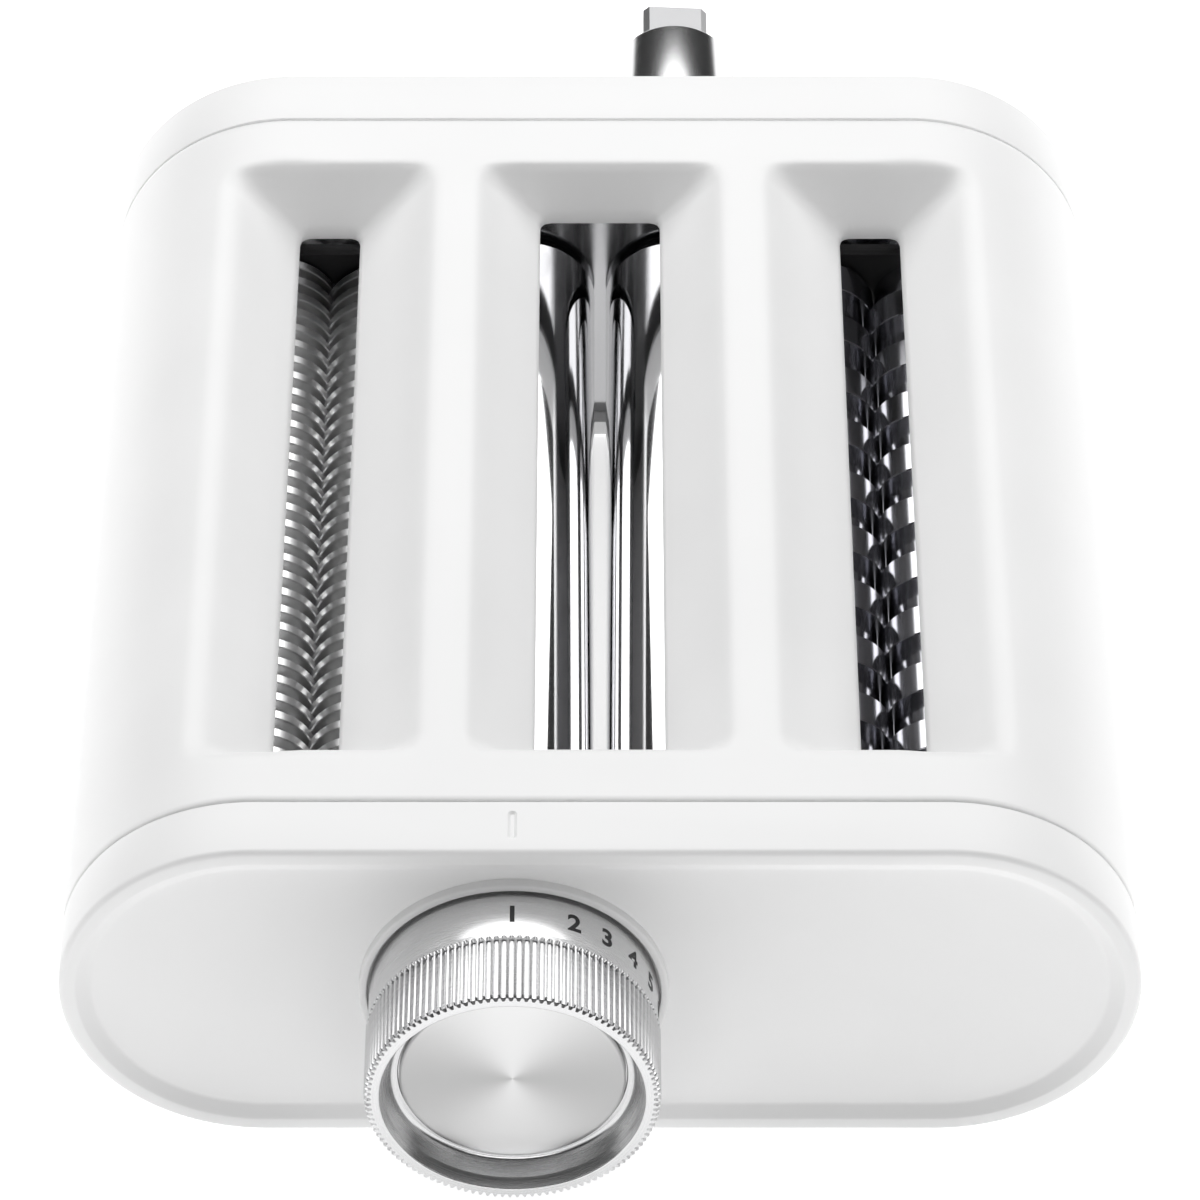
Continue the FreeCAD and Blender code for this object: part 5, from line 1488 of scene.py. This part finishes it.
@dataclass(frozen=True)
class CapScrews:
    """The four screws in the rear cap's pockets."""

    head: float = 3.6
    head_length: float = 2.2
    shank: float = 1.7
    sunk: float = 0.8
    cross_arm: float = 2.2
    cross_half: float = 0.45
    cross_depth: float = 0.9

    def build(self, datum: Datum, places: Sequence[Point2], repeat: RepeatTree,
              finish: bpy.types.Material) -> bpy.types.Object:
        """Makes one screw and sets a copy on each place.

        Args:
            datum: Places read from the frame.
            places: Where the screws stand, as (x, z).
            repeat: The tree that sets copies on points.
            finish: The screws' material.

        Returns:
            The piece.
        """
        seat = datum.length - self.head_length - self.sunk
        low = (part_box("rear_cap_screws")[0].y - datum.front) / MM
        top = seat + self.head_length
        one = MeshBuilder()
        one.lathe(rounded_path([(0, top, 0), (self.head, top, 0.6), (self.head, seat, 0),
                                (self.shank, seat, 0), (self.shank, low, 0.2), (0, low, 0)], 4), 0, 0, 40)
        screw = one.build("cap_screw", datum)
        cross = MeshBuilder()
        arm, half = self.cross_arm, self.cross_half
        plan = [(arm, half), (half, half), (half, arm), (-half, arm), (-half, half), (-arm, half),
                (-arm, -half), (-half, -half), (-half, -arm), (half, -arm), (half, -half), (arm, -half)]
        levels = [cross.ring([(px, y, pz) for px, pz in plan]) for y in (top - self.cross_depth, top + 0.5)]
        cross.skin(levels)
        for level in levels:
            cross.plate(level)
        screw = cut_out(screw, cross.build("cross", datum), 32)
        points = bpy.data.meshes.new("screw_places")
        points.from_pydata([(x * MM, 0.0, z * MM) for x, z in places], [], [])
        holder = bpy.data.objects.new("screw_places", points)
        bpy.context.scene.collection.objects.link(holder)
        mesh = repeat.run(holder, {"Template": screw, "Weld": 1e-7, "Finish": finish})
        bpy.data.objects.remove(screw)
        return finished("cap_screws", mesh, 32)


# ---- studio -------------------------------------------------------------------------------------
@dataclass(frozen=True)
class Studio:
    """The pale floor, the soft lights and the camera."""

    floor_size: float = 6.0
    lens: float = 195.07
    camera_place: tuple[float, float, float] = (0.0, -0.8481, 0.7955)
    camera_tilt: float = 47.29
    aim_height: float = 0.03
    exposure: float = 0.3
    sky_level: float = 0.50
    sky_back: float = 0.12
    sky_above: float = 0.12
    sky_least: float = 0.3

    def floor(self) -> None:
        """Lays the floor."""
        bpy.ops.mesh.primitive_plane_add(size=self.floor_size, location=(0, 0, -0.0004))
        plane = bpy.context.object
        plane.name = "studio_floor"
        material = bpy.data.materials.new("studio_floor")
        material.use_nodes = True
        shader = material.node_tree.nodes["Principled BSDF"]
        shader.inputs["Base Color"].default_value = (0.93, 0.93, 0.93, 1)
        shader.inputs["Roughness"].default_value = 0.9
        shader.inputs["Specular IOR Level"].default_value = 0.0
        shader.inputs["Emission Color"].default_value = (1, 1, 1, 1)
        shader.inputs["Emission Strength"].default_value = 0.5
        plane.data.materials.append(material)

    def light(self, name: str, place: tuple[float, float, float], size: tuple[float, float],
              power: float) -> None:
        """Hangs one area light that faces the object.

        Args:
            name: The lamp's name.
            place: Where it hangs, in metres.
            size: Its two sides, in metres.
            power: Its power in watts.
        """
        data = bpy.data.lights.new(name, "AREA")
        data.shape = "RECTANGLE"
        data.size, data.size_y = size
        data.energy = power
        lamp = bpy.data.objects.new(name, data)
        lamp.location = place
        aim = Vector((0, 0, self.aim_height)) - lamp.location
        lamp.rotation_mode = "QUATERNION"
        lamp.rotation_quaternion = aim.to_track_quat("-Z", "Y")
        bpy.context.scene.collection.objects.link(lamp)

    def sky(self, tree: bpy.types.NodeTree) -> None:
        """Fills the sky with a soft light that is dim in front and bright above and behind.

        Args:
            tree: The world's node tree.
        """
        where = tree.nodes.new("ShaderNodeTexCoord")
        apart = tree.nodes.new("ShaderNodeSeparateXYZ")
        tree.links.new(where.outputs["Generated"], apart.inputs["Vector"])
        back = math_node(tree, "MULTIPLY", apart.outputs["Y"], self.sky_back)
        height = math_node(tree, "MAXIMUM", apart.outputs["Z"], 0.0)
        above = math_node(tree, "MULTIPLY", height, self.sky_above)
        total = math_node(tree, "ADD", math_node(tree, "ADD", back, above), self.sky_level)
        strength = math_node(tree, "MAXIMUM", total, self.sky_least)
        tree.links.new(strength, tree.nodes["Background"].inputs["Strength"])

    def build(self) -> None:
        """Sets the floor, lights, sky and camera."""
        self.floor()
        self.light("overhead", (0.0, 0.75, 1.2), (1.9, 1.5), 19.5)
        self.light("left", (-1.1, 0.1, 0.55), (0.9, 0.7), 2.6)
        self.light("right", (1.1, 0.1, 0.55), (0.9, 0.7), 3.0)
        self.light("front", (0.0, -1.6, 0.7), (1.6, 0.6), 6.0)
        scene = bpy.context.scene
        world = bpy.data.worlds.new("studio_sky")
        world.use_nodes = True
        self.sky(world.node_tree)
        scene.world = world
        scene.view_settings.view_transform = "Standard"
        scene.view_settings.exposure = self.exposure
        data = bpy.data.cameras.new("studio_camera")
        data.lens = self.lens
        data.sensor_width = 36.0
        data.clip_start, data.clip_end = 0.05, 30.0
        camera = bpy.data.objects.new("studio_camera", data)
        camera.location = self.camera_place
        camera.rotation_euler = (math.radians(self.camera_tilt), 0.0, 0.0)
        scene.collection.objects.link(camera)
        scene.camera = camera


def dress_inner_works(nodes: dict, record: dict, bench: Bench) -> None:
    """Gives every node that keeps its own mesh the finish of its slot.

    Args:
        nodes: The frame's objects by node name.
        record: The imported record.
        bench: Knows the palette and the nodes already replaced.
    """
    for entry in record["subparts"]:
        name = entry["node"]
        if name in bench.done:
            continue
        node = nodes[name]
        node.data.materials.clear()
        node.data.materials.append(bench.palette.finish(entry["material_slot"]))
        LOG.info("%s keeps its mesh, %s", name, entry["material_slot"])


def main() -> None:
    """Builds the finished attachment on its frame and lights it."""
    logging.basicConfig(level=logging.INFO, format="%(name)s: %(message)s")
    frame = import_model()
    datum = Datum.read()
    palette = Palette(datum, Workshop())
    bench = Bench(datum, palette, frame["record"])
    row, around, spots = (RepeatTree(mode) for mode in
                          (RepeatTree.Mode.ROW, RepeatTree.Mode.ROUND, RepeatTree.Mode.POINTS))
    hub, caps, dial, rollers, cutters = Hub(), Caps(), Dial(), SheetRollers(), Cutters()

    bench.fit(Sleeve().build(datum), "white_plastic", ["main_housing", "bottom_cover"])
    bench.fit(caps.front(datum), "white_plastic", ["front_cap"])
    rear = caps.rear(datum, hub.boss_length, hub.boss_radius, hub.seat_radius)
    bench.fit(rear, "white_plastic", ["rear_cap"])
    bench.fit(dial.bezel(datum), "bezel_plastic", ["knob_bezel"])
    metal = palette.finish("knob_aluminium")
    bench.fit(dial.grip(datum, around, metal), "knob_aluminium", ["knob_grip"])
    bench.fit(dial.ring(datum), "knob_aluminium", ["dial_ring"])
    bench.fit(dial.disc(datum), "spun_disc", ["knob_disc"])
    bench.fit(dial.numbers(datum), "numeral_ink", [], "dial")
    drive = rollers.build(datum, "sheet_roller_drive", datum.sheet_x, rollers.drive_ends)
    bench.fit(drive, "roller_chrome", ["drive_roller"])
    adjust = rollers.build(datum, "sheet_roller_adjust", datum.dial_x, rollers.adjust_ends)
    bench.fit(adjust, "roller_chrome", ["adjust_roller"])
    sets = (("fine", -1, 4.36, 0.2), ("wide", 1, 14.0, 4.85))
    for kind, way, pitch, lead in sets:
        metal = palette.finish(kind + "_cutter_steel")
        for place, x, shift in (("inner", datum.inner_x, 0.0), ("outer", datum.outer_x, pitch / 2)):
            name = "cutter_" + kind + "_" + place
            piece = cutters.build(datum, name, way * x, pitch, lead + shift, row, metal)
            bench.fit(piece, kind + "_cutter_steel", [kind + "_cutter_" + place])
    bench.fit(hub.collar(datum), "hub_steel", ["hub_collar"])
    bench.fit(hub.tang(datum), "tang_steel", ["drive_shaft"])
    screws = CapScrews().build(datum, caps.posts(datum), spots, palette.finish("fastener_steel"))
    bench.fit(screws, "fastener_steel", ["rear_cap_screws"])
    dress_inner_works(frame["nodes"], frame["record"], bench)
    Studio().build()


if __name__ == "__main__":
    main()
